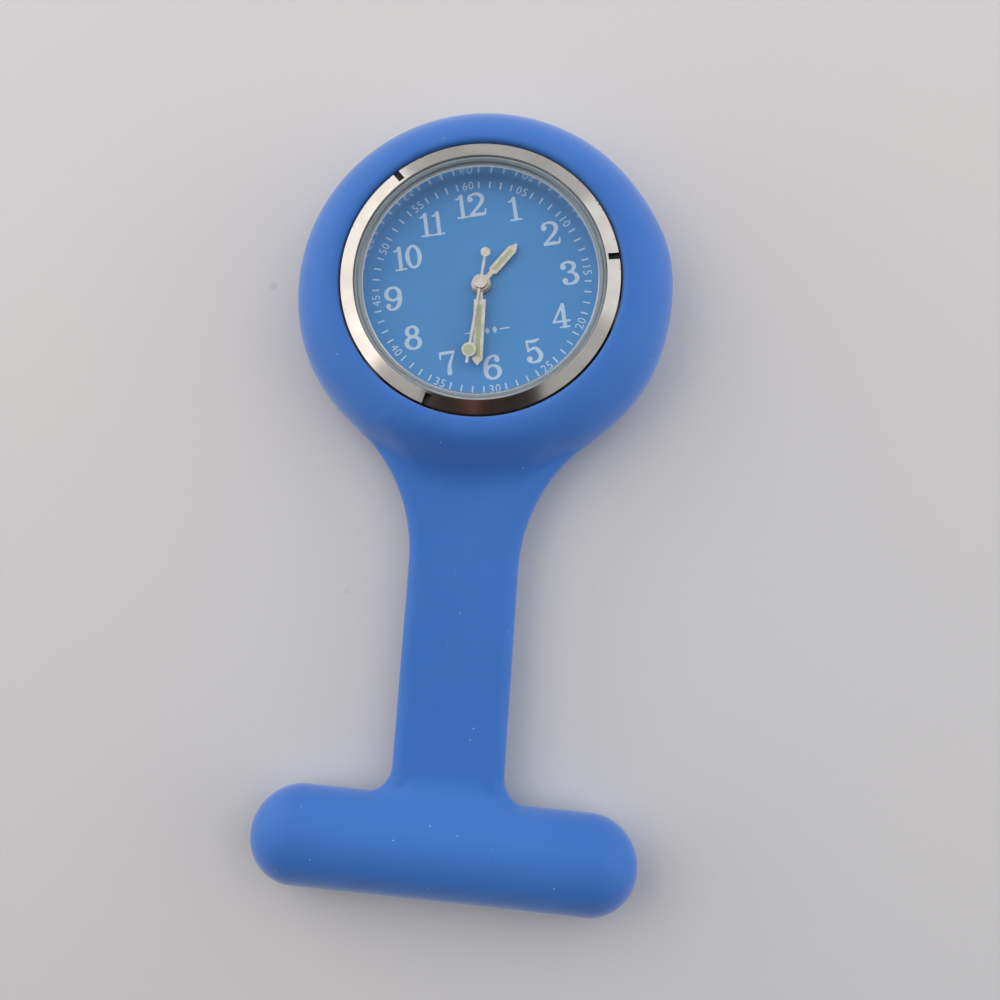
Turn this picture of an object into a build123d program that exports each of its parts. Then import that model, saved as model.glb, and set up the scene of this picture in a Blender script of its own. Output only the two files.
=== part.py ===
"""Silicone fob watch: a round quartz watch head held in a one-piece rubber holder with a brooch pin.

Frame: the origin is on the watch head's axis, in the plane that the back rests on.
+Z points out of the dial, +Y runs from the pin bar to the far side of the ring.
All sizes are in millimetres.
"""

import os
from math import atan2, cos, hypot, pi, radians, sin

from build123d import *

# ---------------------------------------------------------------- fits
head_gap = 0.25             # silicone to the turning head, on the radius
seat_gap = 0.05             # silicone to the head's flange, up and down
shaft_gap = 0.03            # running clearance of arbors and pins, on the radius
tube_gap = 0.05             # clearance between the nested hand tubes, on the radius
glue_gap = 0.02             # parts that sit inside one another without turning

# ---------------------------------------------------------------- silicone holder
case_radius = 15.15         # watch head, outside: the ring is built around it
ring_wall = 6.0             # silicone from its bore to its widest place
ring_widest_z = 2.6
ring_foot_rounding = 1.5    # width of the rounded corner between the ring's side and back
root_inset = 0.5            # the neck's slab starts this far inside the ring's side
bar_inset = 0.3             # and this far inside the bar's side
lip_top_z = 9.2             # crest of the silicone lip around the bezel
lip_width = 0.95            # bore to the lip's crest
bar_distance = 60.9         # ring centre to pin bar centre
bar_length = 41.1
bar_width = 10.4
bar_height = 8.0
bar_foot_rounding = 2.0
bar_skew = -1.1             # degrees: the soft bar has set a little out of square
neck_width = 12.1
neck_back_z = 0.9
neck_front_z = 4.3
neck_edge_radius = 1.5
flare_radius = 18.7         # plan radius where the neck meets the ring
bar_fillet = 3.1            # plan radius where the neck meets the bar
head_turn = 11.5            # degrees that the watch head stands turned in its holder
bore_radius = case_radius + head_gap
ring_radius = bore_radius + ring_wall

# ---------------------------------------------------------------- watch head sizes
case_wall = 2.25
case_bottom_z = 1.3
case_top_z = 7.0
flange_reach = 1.05         # bottom flange that the silicone traps
flange_height = 1.0
back_thickness = 0.7
dial_thickness = 0.4
dial_top_z = 6.07
bezel_edge_z = 8.86         # bezel, outer edge of its cone
bezel_top_z = 9.2
bezel_width = 1.43          # width of the steel seen from the front
rim_width = 0.95            # case edge to the raised rim that the bezel snaps on to
notch_width = 0.7
notch_length = 1.3
notch_depth = 0.35
crystal_inset = 0.32        # bezel's inner edge to the crystal's edge
crystal_bottom_z = 8.3
crystal_top_z = 9.35
crystal_bevel = 0.45
dial_ring_width = 0.55
hour_hand_z = 6.45
minute_hand_z = 6.87
second_hand_z = 7.3
hand_thickness = 0.14
second_hub_top_z = 7.57
movement_radius = 9.5
plate_bottom_z = 4.1
plate_top_z = 5.55
recess_floor_z = 4.65
stem_z = 4.2
crown_radius = 1.5
crown_length = 1.7
crown_pull = 1.0
inner_radius = case_radius - case_wall
flange_radius = case_radius + flange_reach
back_radius = inner_radius - 0.5        # part of the case back that shows through the silicone
back_seat_radius = inner_radius + 0.7
rim_radius = case_radius - rim_width
bezel_inner_radius = case_radius - bezel_width
crystal_radius = bezel_inner_radius - crystal_inset
dial_radius = crystal_radius - 0.1
opening_radius = dial_radius - dial_ring_width

# ---------------------------------------------------------------- gear train
centre_teeth, third_pinion_teeth = 64, 8
third_teeth, fourth_pinion_teeth = 60, 8
fourth_teeth, step_pinion_teeth = 40, 8
step_teeth, rotor_pinion_teeth = 48, 8
cannon_teeth, minute_wheel_teeth = 12, 36
minute_pinion_teeth, hour_teeth = 10, 40
setting_teeth = 16
third_distance = 2.754      # from the centre to the third wheel's arbor
step_distance = 2.784       # from the centre to the step wheel's arbor
rotor_distance = 1.96       # from the step wheel to the rotor
motion_distance = 2.88      # from the centre to the minute wheel
third_direction = 90.0
step_direction = 200.0
rotor_direction = -90.0
minute_wheel_direction = -60.0
setting_direction = 35.0
wheel_thickness = 0.25
arbor_radius = 0.12
pivot_radius = 0.09
staff_radius = 0.2          # seconds staff
centre_tube_radius = 0.5
hour_tube_radius = 0.85

# ---------------------------------------------------------------- brooch pin
needle_radius = 0.4
needle_z = 1.75
hinge_x = -14.2
needle_tip_x = 12.6
pin_plate_length = 33.6
pin_plate_width = 6.6
pin_plate_z = 2.85
pin_plate_thickness = 0.6
pocket_gap = 0.2
mouth_width = 5.6
catch_x = 10.3              # start of the catch's housing
catch_length = 1.8

os.makedirs("parts", exist_ok=True)

head = Plane.XY.rotated((0, 0, head_turn))
skew = radians(bar_skew)
bar = Plane(origin=(0, -bar_distance, 0), x_dir=(cos(skew), sin(skew), 0), z_dir=(0, 0, 1))


def spot(x, y, z):
    """A level plane at a place in the turned watch head."""
    return Plane(origin=head.from_local_coords((x, y, z)), x_dir=head.x_dir, z_dir=(0, 0, 1))


def bar_spot(x, y, z):
    """A level plane at a place in the pin bar."""
    return Plane(origin=bar.from_local_coords((x, y, z)), x_dir=bar.x_dir, z_dir=(0, 0, 1))


def bar_cross(x, z):
    """A plane across the pin bar: its x runs along the bar's y, its y runs up."""
    return Plane(origin=bar.from_local_coords((x, 0, z)), x_dir=bar.y_dir, z_dir=bar.x_dir)


def stem_cross(x):
    """A plane across the stem: its x runs along the head's y, its y runs up."""
    return Plane(origin=head.from_local_coords((x, 0, stem_z)), x_dir=head.y_dir, z_dir=head.x_dir)


def polar(distance, degrees, start=(0.0, 0.0)):
    return (start[0] + distance * cos(radians(degrees)), start[1] + distance * sin(radians(degrees)))


def turned(points, mode=Mode.ADD):
    """Revolve a (radius, height) outline about the head's axis."""
    with BuildSketch(Plane.XZ) as outline:
        with BuildLine():
            Polyline(*points, close=True)
        make_face()
    revolve(profiles=outline.sketch.faces(), axis=Axis.Z, mode=mode)


def disc(place, z, height, radius, bore=0.0, mode=Mode.ADD):
    """A round disc or ring standing at a place in the head."""
    with BuildSketch(spot(place[0], place[1], z)) as outline:
        Circle(radius)
        if bore:
            Circle(bore, mode=Mode.SUBTRACT)
    extrude(to_extrude=outline.sketch, amount=height, mode=mode)


def rod(plane, length, radius, mode=Mode.ADD):
    """A round rod from a plane, along its normal."""
    with BuildSketch(plane) as outline:
        Circle(radius)
    extrude(to_extrude=outline.sketch, amount=length, mode=mode)


def block(plane, size_x, size_y, height, corner=0.0, mode=Mode.ADD):
    """A rectangular block from a plane, along its normal."""
    with BuildSketch(plane) as outline:
        if corner:
            RectangleRounded(size_x, size_y, corner)
        else:
            Rectangle(size_x, size_y)
    extrude(to_extrude=outline.sketch, amount=height, mode=mode)


def gear(plane, height, teeth, module, phase=0.0, bore=0.0):
    """A toothed disc: straight-flanked teeth, one of them centred at the phase angle (radians)."""
    tip = module * (teeth / 2 + 0.9)
    root = module * (teeth / 2 - 1.1)
    pitch = 2 * pi / teeth
    points = []
    for tooth in range(teeth):
        for radius, share in ((root, -0.30), (tip, -0.12), (tip, 0.12), (root, 0.30)):
            angle = phase + (tooth + share) * pitch
            points.append((radius * cos(angle), radius * sin(angle)))
    with BuildSketch(plane) as outline:
        with BuildLine():
            Polyline(*points, close=True)
        make_face()
        if bore:
            Circle(bore, mode=Mode.SUBTRACT)
    extrude(to_extrude=outline.sketch, amount=height)


def direction(start, end):
    return atan2(end[1] - start[1], end[0] - start[0])


def meshed_phase(phase, teeth, start, other_teeth, end):
    """The phase that puts the other gear's gaps on this gear's teeth."""
    line = direction(start, end)
    pitch = 2 * pi / teeth
    ahead = (phase - line + pitch / 2) % pitch - pitch / 2
    return line + pi + pi / other_teeth - ahead * teeth / other_teeth


def finish(builder, name):
    builder.part.label = name
    export_step(builder.part, "parts/" + name + ".step")


# ================================================================ silicone holder
end_radius = bar_width / 2
end_x = bar_length / 2 - end_radius
bar_side_z = bar_height - end_radius
bar_foot = end_radius - bar_foot_rounding
pocket_length = pin_plate_length + 2 * pocket_gap
pocket_width = pin_plate_width + 2 * pocket_gap
pocket_floor_z = pin_plate_z + pin_plate_thickness + seat_gap
opening_edge = back_radius + 0.4
lip_crest_radius = bore_radius + lip_width
crown_reach = case_radius + head_gap + crown_length + crown_pull
pocket_half_angle = 22.0

with BuildPart() as silicone_holder:
    with BuildSketch(Plane.XY.offset(neck_back_z)) as plan:
        Circle(ring_radius - root_inset)
        with Locations((0, -bar_distance / 2)):
            Rectangle(neck_width, bar_distance)
        with Locations(Location((0, -bar_distance), bar_skew)):
            SlotOverall(bar_length - 2 * bar_inset, bar_width - 2 * bar_inset)
        side = [v for v in plan.vertices() if abs(abs(v.X) - neck_width / 2) < 0.01]
        fillet([v for v in side if v.Y > -bar_distance / 2], flare_radius)
        side = [v for v in plan.vertices() if abs(abs(v.X) - neck_width / 2) < 0.01]
        fillet([v for v in side if -bar_distance < v.Y < bar_fillet + bar_width - bar_distance], bar_fillet)
    extrude(amount=neck_front_z - neck_back_z)
    fillet(silicone_holder.faces().sort_by(Axis.Z)[-1].edges(), neck_edge_radius)
    fillet(silicone_holder.faces().sort_by(Axis.Z)[0].edges(), neck_edge_radius * 0.8)
    # the ring's cross-section: flat back, full side, crowned front, rounded lip
    with BuildSketch(Plane.XZ) as section:
        with BuildLine():
            Line((opening_edge, 0), (ring_radius - ring_foot_rounding, 0))
            EllipticalCenterArc((ring_radius - ring_foot_rounding, ring_widest_z), ring_foot_rounding,
                                ring_widest_z, start_angle=-90, arc_size=90)
            EllipticalCenterArc((lip_crest_radius, ring_widest_z), ring_radius - lip_crest_radius,
                                lip_top_z - ring_widest_z, start_angle=0, arc_size=90)
            Line((lip_crest_radius, lip_top_z), (opening_edge, lip_top_z))
            Line((opening_edge, lip_top_z), (opening_edge, 0))
        make_face()
    revolve(profiles=section.sketch.faces(), axis=Axis.Z)
    # the bar: a crowned section with a flat back, and fully rounded ends
    with BuildSketch(bar_cross(-end_x, 0)) as bar_section:
        with BuildLine():
            Line((-bar_foot, 0), (bar_foot, 0))
            EllipticalCenterArc((bar_foot, bar_side_z), bar_foot_rounding, bar_side_z,
                                start_angle=-90, arc_size=90)
            ThreePointArc((end_radius, bar_side_z), (0, bar_height), (-end_radius, bar_side_z))
            EllipticalCenterArc((-bar_foot, bar_side_z), bar_foot_rounding, bar_side_z,
                                start_angle=180, arc_size=90)
        make_face()
    extrude(to_extrude=bar_section.sketch, amount=2 * end_x)
    for x in (-end_x, end_x):
        with BuildSketch(bar_cross(x, 0)) as half_section:
            with BuildLine():
                Line((0, 0), (bar_foot, 0))
                EllipticalCenterArc((bar_foot, bar_side_z), bar_foot_rounding, bar_side_z,
                                    start_angle=-90, arc_size=90)
                CenterArc((0, bar_side_z), end_radius, 0, 90)
                Line((0, bar_height), (0, 0))
            make_face()
        centre = bar.from_local_coords((x, 0, 0))
        revolve(profiles=half_section.sketch.faces(), axis=Axis(centre, (0, 0, 1)))
    # the hollow for the watch head: bore, trapping groove, opening for the case back
    turned(((0, -1), (opening_edge, -1), (opening_edge, case_bottom_z - seat_gap),
            (flange_radius + head_gap, case_bottom_z - seat_gap),
            (flange_radius + head_gap, case_bottom_z + flange_height + seat_gap),
            (bore_radius, case_bottom_z + flange_height + seat_gap),
            (bore_radius, lip_top_z - 0.75), (bore_radius + 0.2, lip_top_z - 0.25),
            (lip_crest_radius, lip_top_z + 1), (0, lip_top_z + 1)), Mode.SUBTRACT)
    # the moulded pocket that lets the crown turn with the head and be pulled out
    with BuildSketch(Plane.XY.offset(stem_z - crown_radius - 0.4)) as crown_room:
        with BuildLine():
            outer = crown_reach + 0.4
            CenterArc((0, 0), outer, -pocket_half_angle, 2 * pocket_half_angle)
            Line(polar(outer, pocket_half_angle), (0, 0))
            Line((0, 0), polar(outer, -pocket_half_angle))
        make_face()
    extrude(to_extrude=crown_room.sketch, amount=2 * crown_radius + 0.8, mode=Mode.SUBTRACT)
    # the pocket for the brooch: a wide seat for its plate behind a narrower mouth
    block(bar_spot(0, 0, pin_plate_z - seat_gap), pocket_length, pocket_width,
          pocket_floor_z - pin_plate_z + seat_gap, 1.4, Mode.SUBTRACT)
    block(bar_spot(0, 0, -1), pocket_length - 1.4, mouth_width, pin_plate_z, 1.2, Mode.SUBTRACT)
    block(bar_spot(0, 0, pin_plate_z - 1.2), pocket_length - 1.4, mouth_width, 1.3, 1.2, Mode.SUBTRACT)
finish(silicone_holder, "silicone_holder")

# ================================================================ brooch pin
ear_thickness = 0.5
eye_width = 1.3
eye_radius = 0.85
rivet_radius = 0.35
ear_y = eye_width / 2 + 0.05
rotor_bore = needle_radius + 0.15
rotor_outer = rotor_bore + 0.4
housing_outer = rotor_outer + 0.5
rotor_slot = 2 * needle_radius + 0.15
slot_angle = 170.0          # where the catch's slot stands when the pin is locked
tab_angle = 240.0

with BuildPart() as pin_plate:
    block(bar_spot(0, 0, pin_plate_z), pin_plate_length, pin_plate_width, pin_plate_thickness, 1.3)
    for side in (-1, 1):
        ear_face = Plane(
            origin=bar.from_local_coords((hinge_x, side * (ear_y + ear_thickness / 2), needle_z)),
            x_dir=bar.x_dir,
            z_dir=-bar.y_dir,
        )
        with BuildSketch(ear_face.offset(-ear_thickness / 2)) as ear:
            Circle(eye_radius + 0.1)
            with Locations((0, 0.7)):
                Rectangle(2 * eye_radius + 0.2, 1.4)
            Circle(rivet_radius + shaft_gap, mode=Mode.SUBTRACT)
        extrude(to_extrude=ear.sketch, amount=ear_thickness)
    rod(bar_cross(catch_x, needle_z), catch_length, housing_outer)
    rod(bar_cross(catch_x - 1, needle_z), catch_length + 2, rotor_outer + shaft_gap, Mode.SUBTRACT)
    block(bar_spot(catch_x + catch_length / 2, 0, 0), catch_length + 1, 2 * needle_radius + 0.3,
          needle_z, 0, Mode.SUBTRACT)
finish(pin_plate, "pin_plate")

with BuildPart() as pin_rivet:
    rivet_length = 2 * (ear_y + ear_thickness)
    rivet_end = Plane(
        origin=bar.from_local_coords((hinge_x, -rivet_length / 2, needle_z)),
        x_dir=bar.x_dir,
        z_dir=bar.y_dir,
    )
    rod(rivet_end, rivet_length, rivet_radius)
    rod(rivet_end.offset(-0.25), 0.25, rivet_radius + 0.3)
    rod(rivet_end.offset(rivet_length), 0.25, rivet_radius + 0.3)
finish(pin_rivet, "pin_rivet")

with BuildPart() as pin_needle:
    eye_end = Plane(
        origin=bar.from_local_coords((hinge_x, -eye_width / 2, needle_z)),
        x_dir=bar.x_dir,
        z_dir=bar.y_dir,
    )
    point_length = 2.4
    rod(bar_cross(hinge_x + 0.6, needle_z), needle_tip_x - point_length - hinge_x - 0.6, needle_radius)
    with BuildSketch(bar_cross(needle_tip_x - point_length, needle_z)) as point_start:
        Circle(needle_radius)
    with BuildSketch(bar_cross(needle_tip_x, needle_z)) as point_end:
        Circle(0.06)
    loft(sections=[point_start.sketch.faces()[0], point_end.sketch.faces()[0]])
    rod(eye_end, eye_width, eye_radius)
    rod(eye_end.offset(-1), eye_width + 2, rivet_radius + shaft_gap, Mode.SUBTRACT)
finish(pin_needle, "pin_needle")

with BuildPart() as pin_catch:
    rotor_start = catch_x - 0.4
    rotor_end = catch_x + catch_length + 0.9
    rod(bar_cross(rotor_start, needle_z), rotor_end - rotor_start, rotor_outer)
    rod(bar_cross(rotor_start, needle_z), 0.3, rotor_outer + 0.1)
    tab_reach = 1.7
    tab_plane = Plane(
        origin=bar.from_local_coords((rotor_end - 0.8, 0, needle_z)),
        x_dir=bar.y_dir * cos(radians(tab_angle)) + Vector(0, 0, sin(radians(tab_angle))),
        z_dir=bar.x_dir,
    )
    with BuildSketch(tab_plane) as tab:
        with Locations((tab_reach / 2 + 0.3, 0)):
            Rectangle(tab_reach - 0.6, 0.7)
    extrude(to_extrude=tab.sketch, amount=0.8)
    rod(bar_cross(rotor_start - 1, needle_z), 6, rotor_bore, Mode.SUBTRACT)
    slot_plane = Plane(
        origin=bar.from_local_coords((rotor_start - 1, 0, needle_z)),
        x_dir=bar.y_dir * cos(radians(slot_angle)) + Vector(0, 0, sin(radians(slot_angle))),
        z_dir=bar.x_dir,
    )
    with BuildSketch(slot_plane) as slot:
        with Locations((1.0, 0)):
            Rectangle(2.0, rotor_slot)
    extrude(to_extrude=slot.sketch, amount=6, mode=Mode.SUBTRACT)
finish(pin_catch, "pin_catch")

# ================================================================ case
dial_bore = dial_radius + 0.1
shelf_z = dial_top_z - dial_thickness
back_seat_z = case_bottom_z + 0.6
rim_top_z = 8.1
crown_hole_radius = 0.85
bezel_bore = rim_radius + glue_gap

with BuildPart() as case_body:
    turned(((inner_radius, back_seat_z), (back_seat_radius, back_seat_z),
            (back_seat_radius, case_bottom_z), (flange_radius, case_bottom_z),
            (flange_radius, case_bottom_z + flange_height), (case_radius, case_bottom_z + flange_height),
            (case_radius, case_top_z), (rim_radius, case_top_z), (rim_radius, rim_top_z),
            (dial_bore, rim_top_z), (dial_bore, shelf_z), (inner_radius, shelf_z)))
    turned(((inner_radius - 0.01, back_seat_z - 0.01), (inner_radius + 0.45, back_seat_z - 0.01),
            (inner_radius + 0.45, back_seat_z + 0.45), (inner_radius - 0.01, back_seat_z + 0.45)),
           Mode.SUBTRACT)
    rod(stem_cross(inner_radius - 1), case_wall + 2, crown_hole_radius, Mode.SUBTRACT)
finish(case_body, "case_body")

with BuildPart() as crown_tube:
    tube_length = case_wall + 0.45
    rod(stem_cross(inner_radius + 0.05), tube_length, crown_hole_radius - glue_gap)
    rod(stem_cross(inner_radius - 1), tube_length + 2, 0.5, Mode.SUBTRACT)
finish(crown_tube, "crown_tube")

with BuildPart() as bezel:
    turned(((bezel_bore, case_top_z + 0.02), (case_radius, case_top_z + 0.02),
            (case_radius, bezel_edge_z), (bezel_inner_radius, bezel_top_z),
            (bezel_inner_radius - 0.06, bezel_top_z - 0.1), (bezel_inner_radius - 0.06, crystal_bottom_z - 0.15),
            (bezel_bore, crystal_bottom_z - 0.15)))
    for angle in (0, 120, 240):
        middle = polar(case_radius + 0.15 - notch_length / 2, angle)
        notch_plane = Plane(
            origin=head.from_local_coords((middle[0], middle[1], bezel_edge_z - notch_depth)),
            x_dir=head.x_dir,
            z_dir=(0, 0, 1),
        ).rotated((0, 0, angle))
        block(notch_plane, notch_length, notch_width, 2, 0, Mode.SUBTRACT)
finish(bezel, "bezel")

with BuildPart() as crystal_gasket:
    gasket_bottom_z = crystal_bottom_z - 0.14
    gasket_top_z = crystal_top_z - crystal_bevel
    turned(((crystal_radius + glue_gap, gasket_bottom_z), (bezel_inner_radius - 0.08, gasket_bottom_z),
            (bezel_inner_radius - 0.08, gasket_top_z), (crystal_radius + glue_gap, gasket_top_z)))
finish(crystal_gasket, "crystal_gasket")

with BuildPart() as crystal:
    turned(((0, crystal_bottom_z), (crystal_radius, crystal_bottom_z),
            (crystal_radius, crystal_top_z - crystal_bevel),
            (crystal_radius - crystal_bevel, crystal_top_z), (0, crystal_top_z)))
finish(crystal, "crystal")

with BuildPart() as dial_ring:
    turned(((opening_radius, dial_top_z), (dial_radius, dial_top_z), (dial_radius, crystal_bottom_z - 0.02),
            (opening_radius + 0.05, crystal_bottom_z - 0.02)))
finish(dial_ring, "dial_ring")

foot_places = (polar(8.3, 60), polar(8.3, 240))
with BuildPart() as dial:
    disc((0, 0), shelf_z, dial_thickness - 0.01, dial_radius, hour_tube_radius + 0.2)
    for place in foot_places:
        disc(place, shelf_z - 1.0, 1.0, 0.35)
finish(dial, "dial")

with BuildPart() as case_back:
    turned(((0, 0), (back_radius - 0.35, 0), (back_radius, 0.35), (back_radius, case_bottom_z),
            (back_seat_radius - glue_gap, case_bottom_z), (back_seat_radius - glue_gap, back_seat_z - 0.01),
            (back_radius - 0.7, back_seat_z - 0.01), (back_radius - 0.7, back_thickness),
            (0, back_thickness)))
    # opening slots for a case knife
    for angle in (60, 180, 300):
        middle = polar(back_radius, angle)
        tool_slot = spot(middle[0], middle[1], -0.5).rotated((0, 0, angle))
        block(tool_slot, 1.0, 2.4, 0.85, 0, Mode.SUBTRACT)
finish(case_back, "case_back")

with BuildPart() as case_back_gasket:
    gasket_radius = 0.2
    with BuildSketch(Plane.XZ) as ring_section:
        with Locations((inner_radius + 0.22, back_seat_z + gasket_radius)):
            Circle(gasket_radius)
    revolve(profiles=ring_section.sketch.faces(), axis=Axis.Z)
finish(case_back_gasket, "case_back_gasket")

# ================================================================ movement frame
centre = (0.0, 0.0)
third_place = polar(third_distance, third_direction)
step_place = polar(step_distance, step_direction)
rotor_place = polar(rotor_distance, rotor_direction, step_place)
minute_wheel_place = polar(motion_distance, minute_wheel_direction)
motion_module = 2 * motion_distance / (cannon_teeth + minute_wheel_teeth)
hour_module = 2 * motion_distance / (minute_pinion_teeth + hour_teeth)
setting_distance = motion_module * (minute_wheel_teeth + setting_teeth) / 2
setting_place = polar(setting_distance, setting_direction, minute_wheel_place)
battery_radius, battery_height = 3.4, 2.6
battery_place = polar(6.0, -72)
battery_z = 0.85
pillar_places = ((-3.4, 4.4), (3.5, 1.2), (-4.6, -5.0))
pillar_radius = 0.75
bridge_bottom_z, bridge_top_z = 1.4, 1.9
step_gear_z = 2.05
step_pinion_z = 2.4
fourth_gear_z = 2.5
third_gear_z = 2.95
centre_gear_z = 3.5
cannon_z = 4.75
minute_gear_z = 4.8
hour_gear_z = 5.2
lever_pivot = (7.9, 2.5)
groove_x = 7.4              # stem groove at rest, crown pushed in
clutch_x = 5.4
clutch_length = 1.1
stem_radius = 0.45

with BuildPart() as main_plate:
    disc(centre, plate_bottom_z, plate_top_z - plate_bottom_z, movement_radius)
    # dial-side recess for the motion work and the setting wheel
    with BuildSketch(spot(0, 0, recess_floor_z)) as recess:
        Circle(3.2)
        with Locations(minute_wheel_place):
            Circle(2.6)
        with Locations(setting_place):
            Circle(1.35)
    extrude(to_extrude=recess.sketch, amount=2, mode=Mode.SUBTRACT)
    # keyless work: slot for the stem, the clutch, the yoke and the setting lever
    block(spot((clutch_x + movement_radius) / 2 + 0.6, 0, plate_bottom_z - 1),
          movement_radius - clutch_x + 2, 2.1, 3, 0, Mode.SUBTRACT)
    block(spot(4.6, 0, plate_bottom_z - 1), 1.2, 1.1, 1.6, 0, Mode.SUBTRACT)
    block(spot(7.6, 1.9, recess_floor_z), 2.6, 3.2, 2, 0, Mode.SUBTRACT)
    block(spot(6.3, -1.9, recess_floor_z), 2.6, 2.4, 2, 0, Mode.SUBTRACT)
    for place in pillar_places:
        disc(place, bridge_top_z, plate_bottom_z - bridge_top_z, pillar_radius)
        disc(place, bridge_top_z - 1, 2.6, 0.35, 0, Mode.SUBTRACT)
    for place in foot_places:
        disc(place, plate_bottom_z - 1, 3, 0.35 + glue_gap, 0, Mode.SUBTRACT)
    disc(centre, plate_bottom_z - 1, 3, centre_tube_radius + shaft_gap, 0, Mode.SUBTRACT)
    for place in (third_place, step_place, rotor_place):
        disc(place, plate_bottom_z - 1, 1.4, pivot_radius + shaft_gap, 0, Mode.SUBTRACT)
    disc(minute_wheel_place, recess_floor_z, 0.9, 0.2)
    disc(setting_place, recess_floor_z, 0.7, 0.2)
    disc(lever_pivot, recess_floor_z, 0.6, 0.3)
finish(main_plate, "main_plate")

with BuildPart() as train_bridge:
    with BuildSketch(spot(0, 0, bridge_bottom_z)) as bridge_plan:
        for x, y in pillar_places + (rotor_place,):
            with Locations((x, y)):
                Circle(1.0)
        with BuildLine():
            Polyline((-3.4, 5.4), (3.5, 2.2), (3.5, 0.2), (0.6, -1.6), (-4.0, -5.8), (-5.5, -5.0),
                     (-4.4, 4.4), close=True)
        make_face()
    extrude(to_extrude=bridge_plan.sketch, amount=bridge_top_z - bridge_bottom_z)
    for place in pillar_places:
        disc(place, bridge_bottom_z - 1, 2, 0.4, 0, Mode.SUBTRACT)
    for place in (centre, third_place, step_place, rotor_place):
        disc(place, bridge_bottom_z - 1, 2, pivot_radius + shaft_gap, 0, Mode.SUBTRACT)
finish(train_bridge, "train_bridge")

with BuildPart() as movement_screws:
    for x, y in pillar_places:
        with BuildSketch(spot(x, y, bridge_bottom_z - 0.35)) as screw_head:
            Circle(0.7)
            Rectangle(1.5, 0.16, mode=Mode.SUBTRACT)
        disc((x, y), bridge_bottom_z - 0.2, 0.2, 0.7)
        extrude(to_extrude=screw_head.sketch, amount=0.2)
        disc((x, y), bridge_bottom_z, 1.9, 0.35 - glue_gap)
finish(movement_screws, "movement_screws")

with BuildPart() as movement_holder:
    turned(((movement_radius + 0.05, back_seat_z + 0.5), (inner_radius - 0.05, back_seat_z + 0.5),
            (inner_radius - 0.05, shelf_z - 0.02), (movement_radius + 0.05, shelf_z - 0.02)))
    disc(centre, plate_bottom_z - 0.5, 0.48, movement_radius + 1, movement_radius - 0.5)
    block(spot((movement_radius + inner_radius) / 2, 0, stem_z - 0.7), inner_radius - movement_radius + 1.6,
          1.4, 5, 0, Mode.SUBTRACT)
finish(movement_holder, "movement_holder")

# ================================================================ electric parts
board_z = 2.1
board_thickness = 0.2
can_radius, can_length = 0.7, 4.6
coil_x = -6.6

with BuildPart() as circuit_board:
    with BuildSketch(spot(0, 0, board_z)) as board_plan:
        with BuildLine():
            Polyline((4.4, -2.2), (7.8, -2.2), (8.4, -1.4), (8.4, 3.4), (4.6, 7.2), (3.3, 7.2), (3.3, 3.2),
                     (4.4, 2.2), close=True)
        make_face()
    extrude(to_extrude=board_plan.sketch, amount=board_thickness)
    disc((7.2, -1.75), board_z + board_thickness, plate_bottom_z - board_z - board_thickness, 0.4)
    disc((4.3, 6.4), board_z + board_thickness, plate_bottom_z - board_z - board_thickness, 0.4)
finish(circuit_board, "circuit_board")

with BuildPart() as timing_chip:
    block(spot(7.2, -0.2, board_z + board_thickness), 1.8, 1.8, 0.5, 0.3)
finish(timing_chip, "timing_chip")

with BuildPart() as quartz_can:
    can_start = Plane(
        origin=head.from_local_coords((6.0, 0.9, board_z + board_thickness + can_radius)),
        x_dir=head.x_dir,
        z_dir=head.y_dir,
    )
    rod(can_start, can_length, can_radius)
    rod(can_start.offset(-0.3), 0.3, can_radius * 0.7)
finish(quartz_can, "quartz_can")

with BuildPart() as coil_core:
    block(spot(coil_x, 0.35, 2.35), 0.9, 9.0, 0.5)
finish(coil_core, "coil_core")

with BuildPart() as coil_winding:
    winding_start = Plane(
        origin=head.from_local_coords((coil_x, -2.9, 2.6)),
        x_dir=head.x_dir,
        z_dir=head.y_dir,
    )
    rod(winding_start, 6.5, 1.1)
    block(winding_start.offset(-1), 0.9 + glue_gap, 0.5 + glue_gap, 9, 0, Mode.SUBTRACT)
finish(coil_winding, "coil_winding")

with BuildPart() as stator:
    stator_z = 2.86
    with BuildSketch(spot(0, 0, stator_z)) as stator_plan:
        for x, y, size_x, size_y in ((-4.95, 0.85, 0.8, 8.1), (-5.85, 4.5, 2.6, 0.8),
                                     (-5.0, -3.8, 4.2, 0.8), (-4.2, -2.9, 2.3, 1.4)):
            with Locations((x, y)):
                Rectangle(size_x, size_y)
        with Locations(rotor_place):
            Circle(1.6)
            Circle(1.15, mode=Mode.SUBTRACT)
    extrude(to_extrude=stator_plan.sketch, amount=0.4)
finish(stator, "stator")

with BuildPart() as battery:
    disc(battery_place, battery_z, 0.35, battery_radius - 0.45)
    disc(battery_place, battery_z + 0.35, battery_height - 0.35, battery_radius)
finish(battery, "battery")

with BuildPart() as battery_clamp:
    clamp_z = battery_z + battery_height + 0.02
    clamp_x, clamp_y = battery_place
    block(spot(clamp_x, clamp_y, clamp_z), 1.4, 5.6, 0.15)
    block(spot(clamp_x, clamp_y + 2.6, clamp_z), 1.4, 0.4, plate_bottom_z - clamp_z)
    block(spot(clamp_x, clamp_y - 2.6, clamp_z), 1.4, 0.4, plate_bottom_z - clamp_z)
finish(battery_clamp, "battery_clamp")

with BuildPart() as battery_contact:
    contact_x, contact_y = battery_place
    block(spot(contact_x + 1.2, contact_y + 0.9, battery_z - 0.12), 4.2, 0.8, 0.1)
    block(spot(contact_x + 3.55, contact_y + 2.9, battery_z - 0.12), 0.9, 4.8, 0.1)
    block(spot(contact_x + 3.55, contact_y + 4.9, battery_z - 0.12), 0.9, 0.8, board_z - battery_z + 0.12)
finish(battery_contact, "battery_contact")

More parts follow.
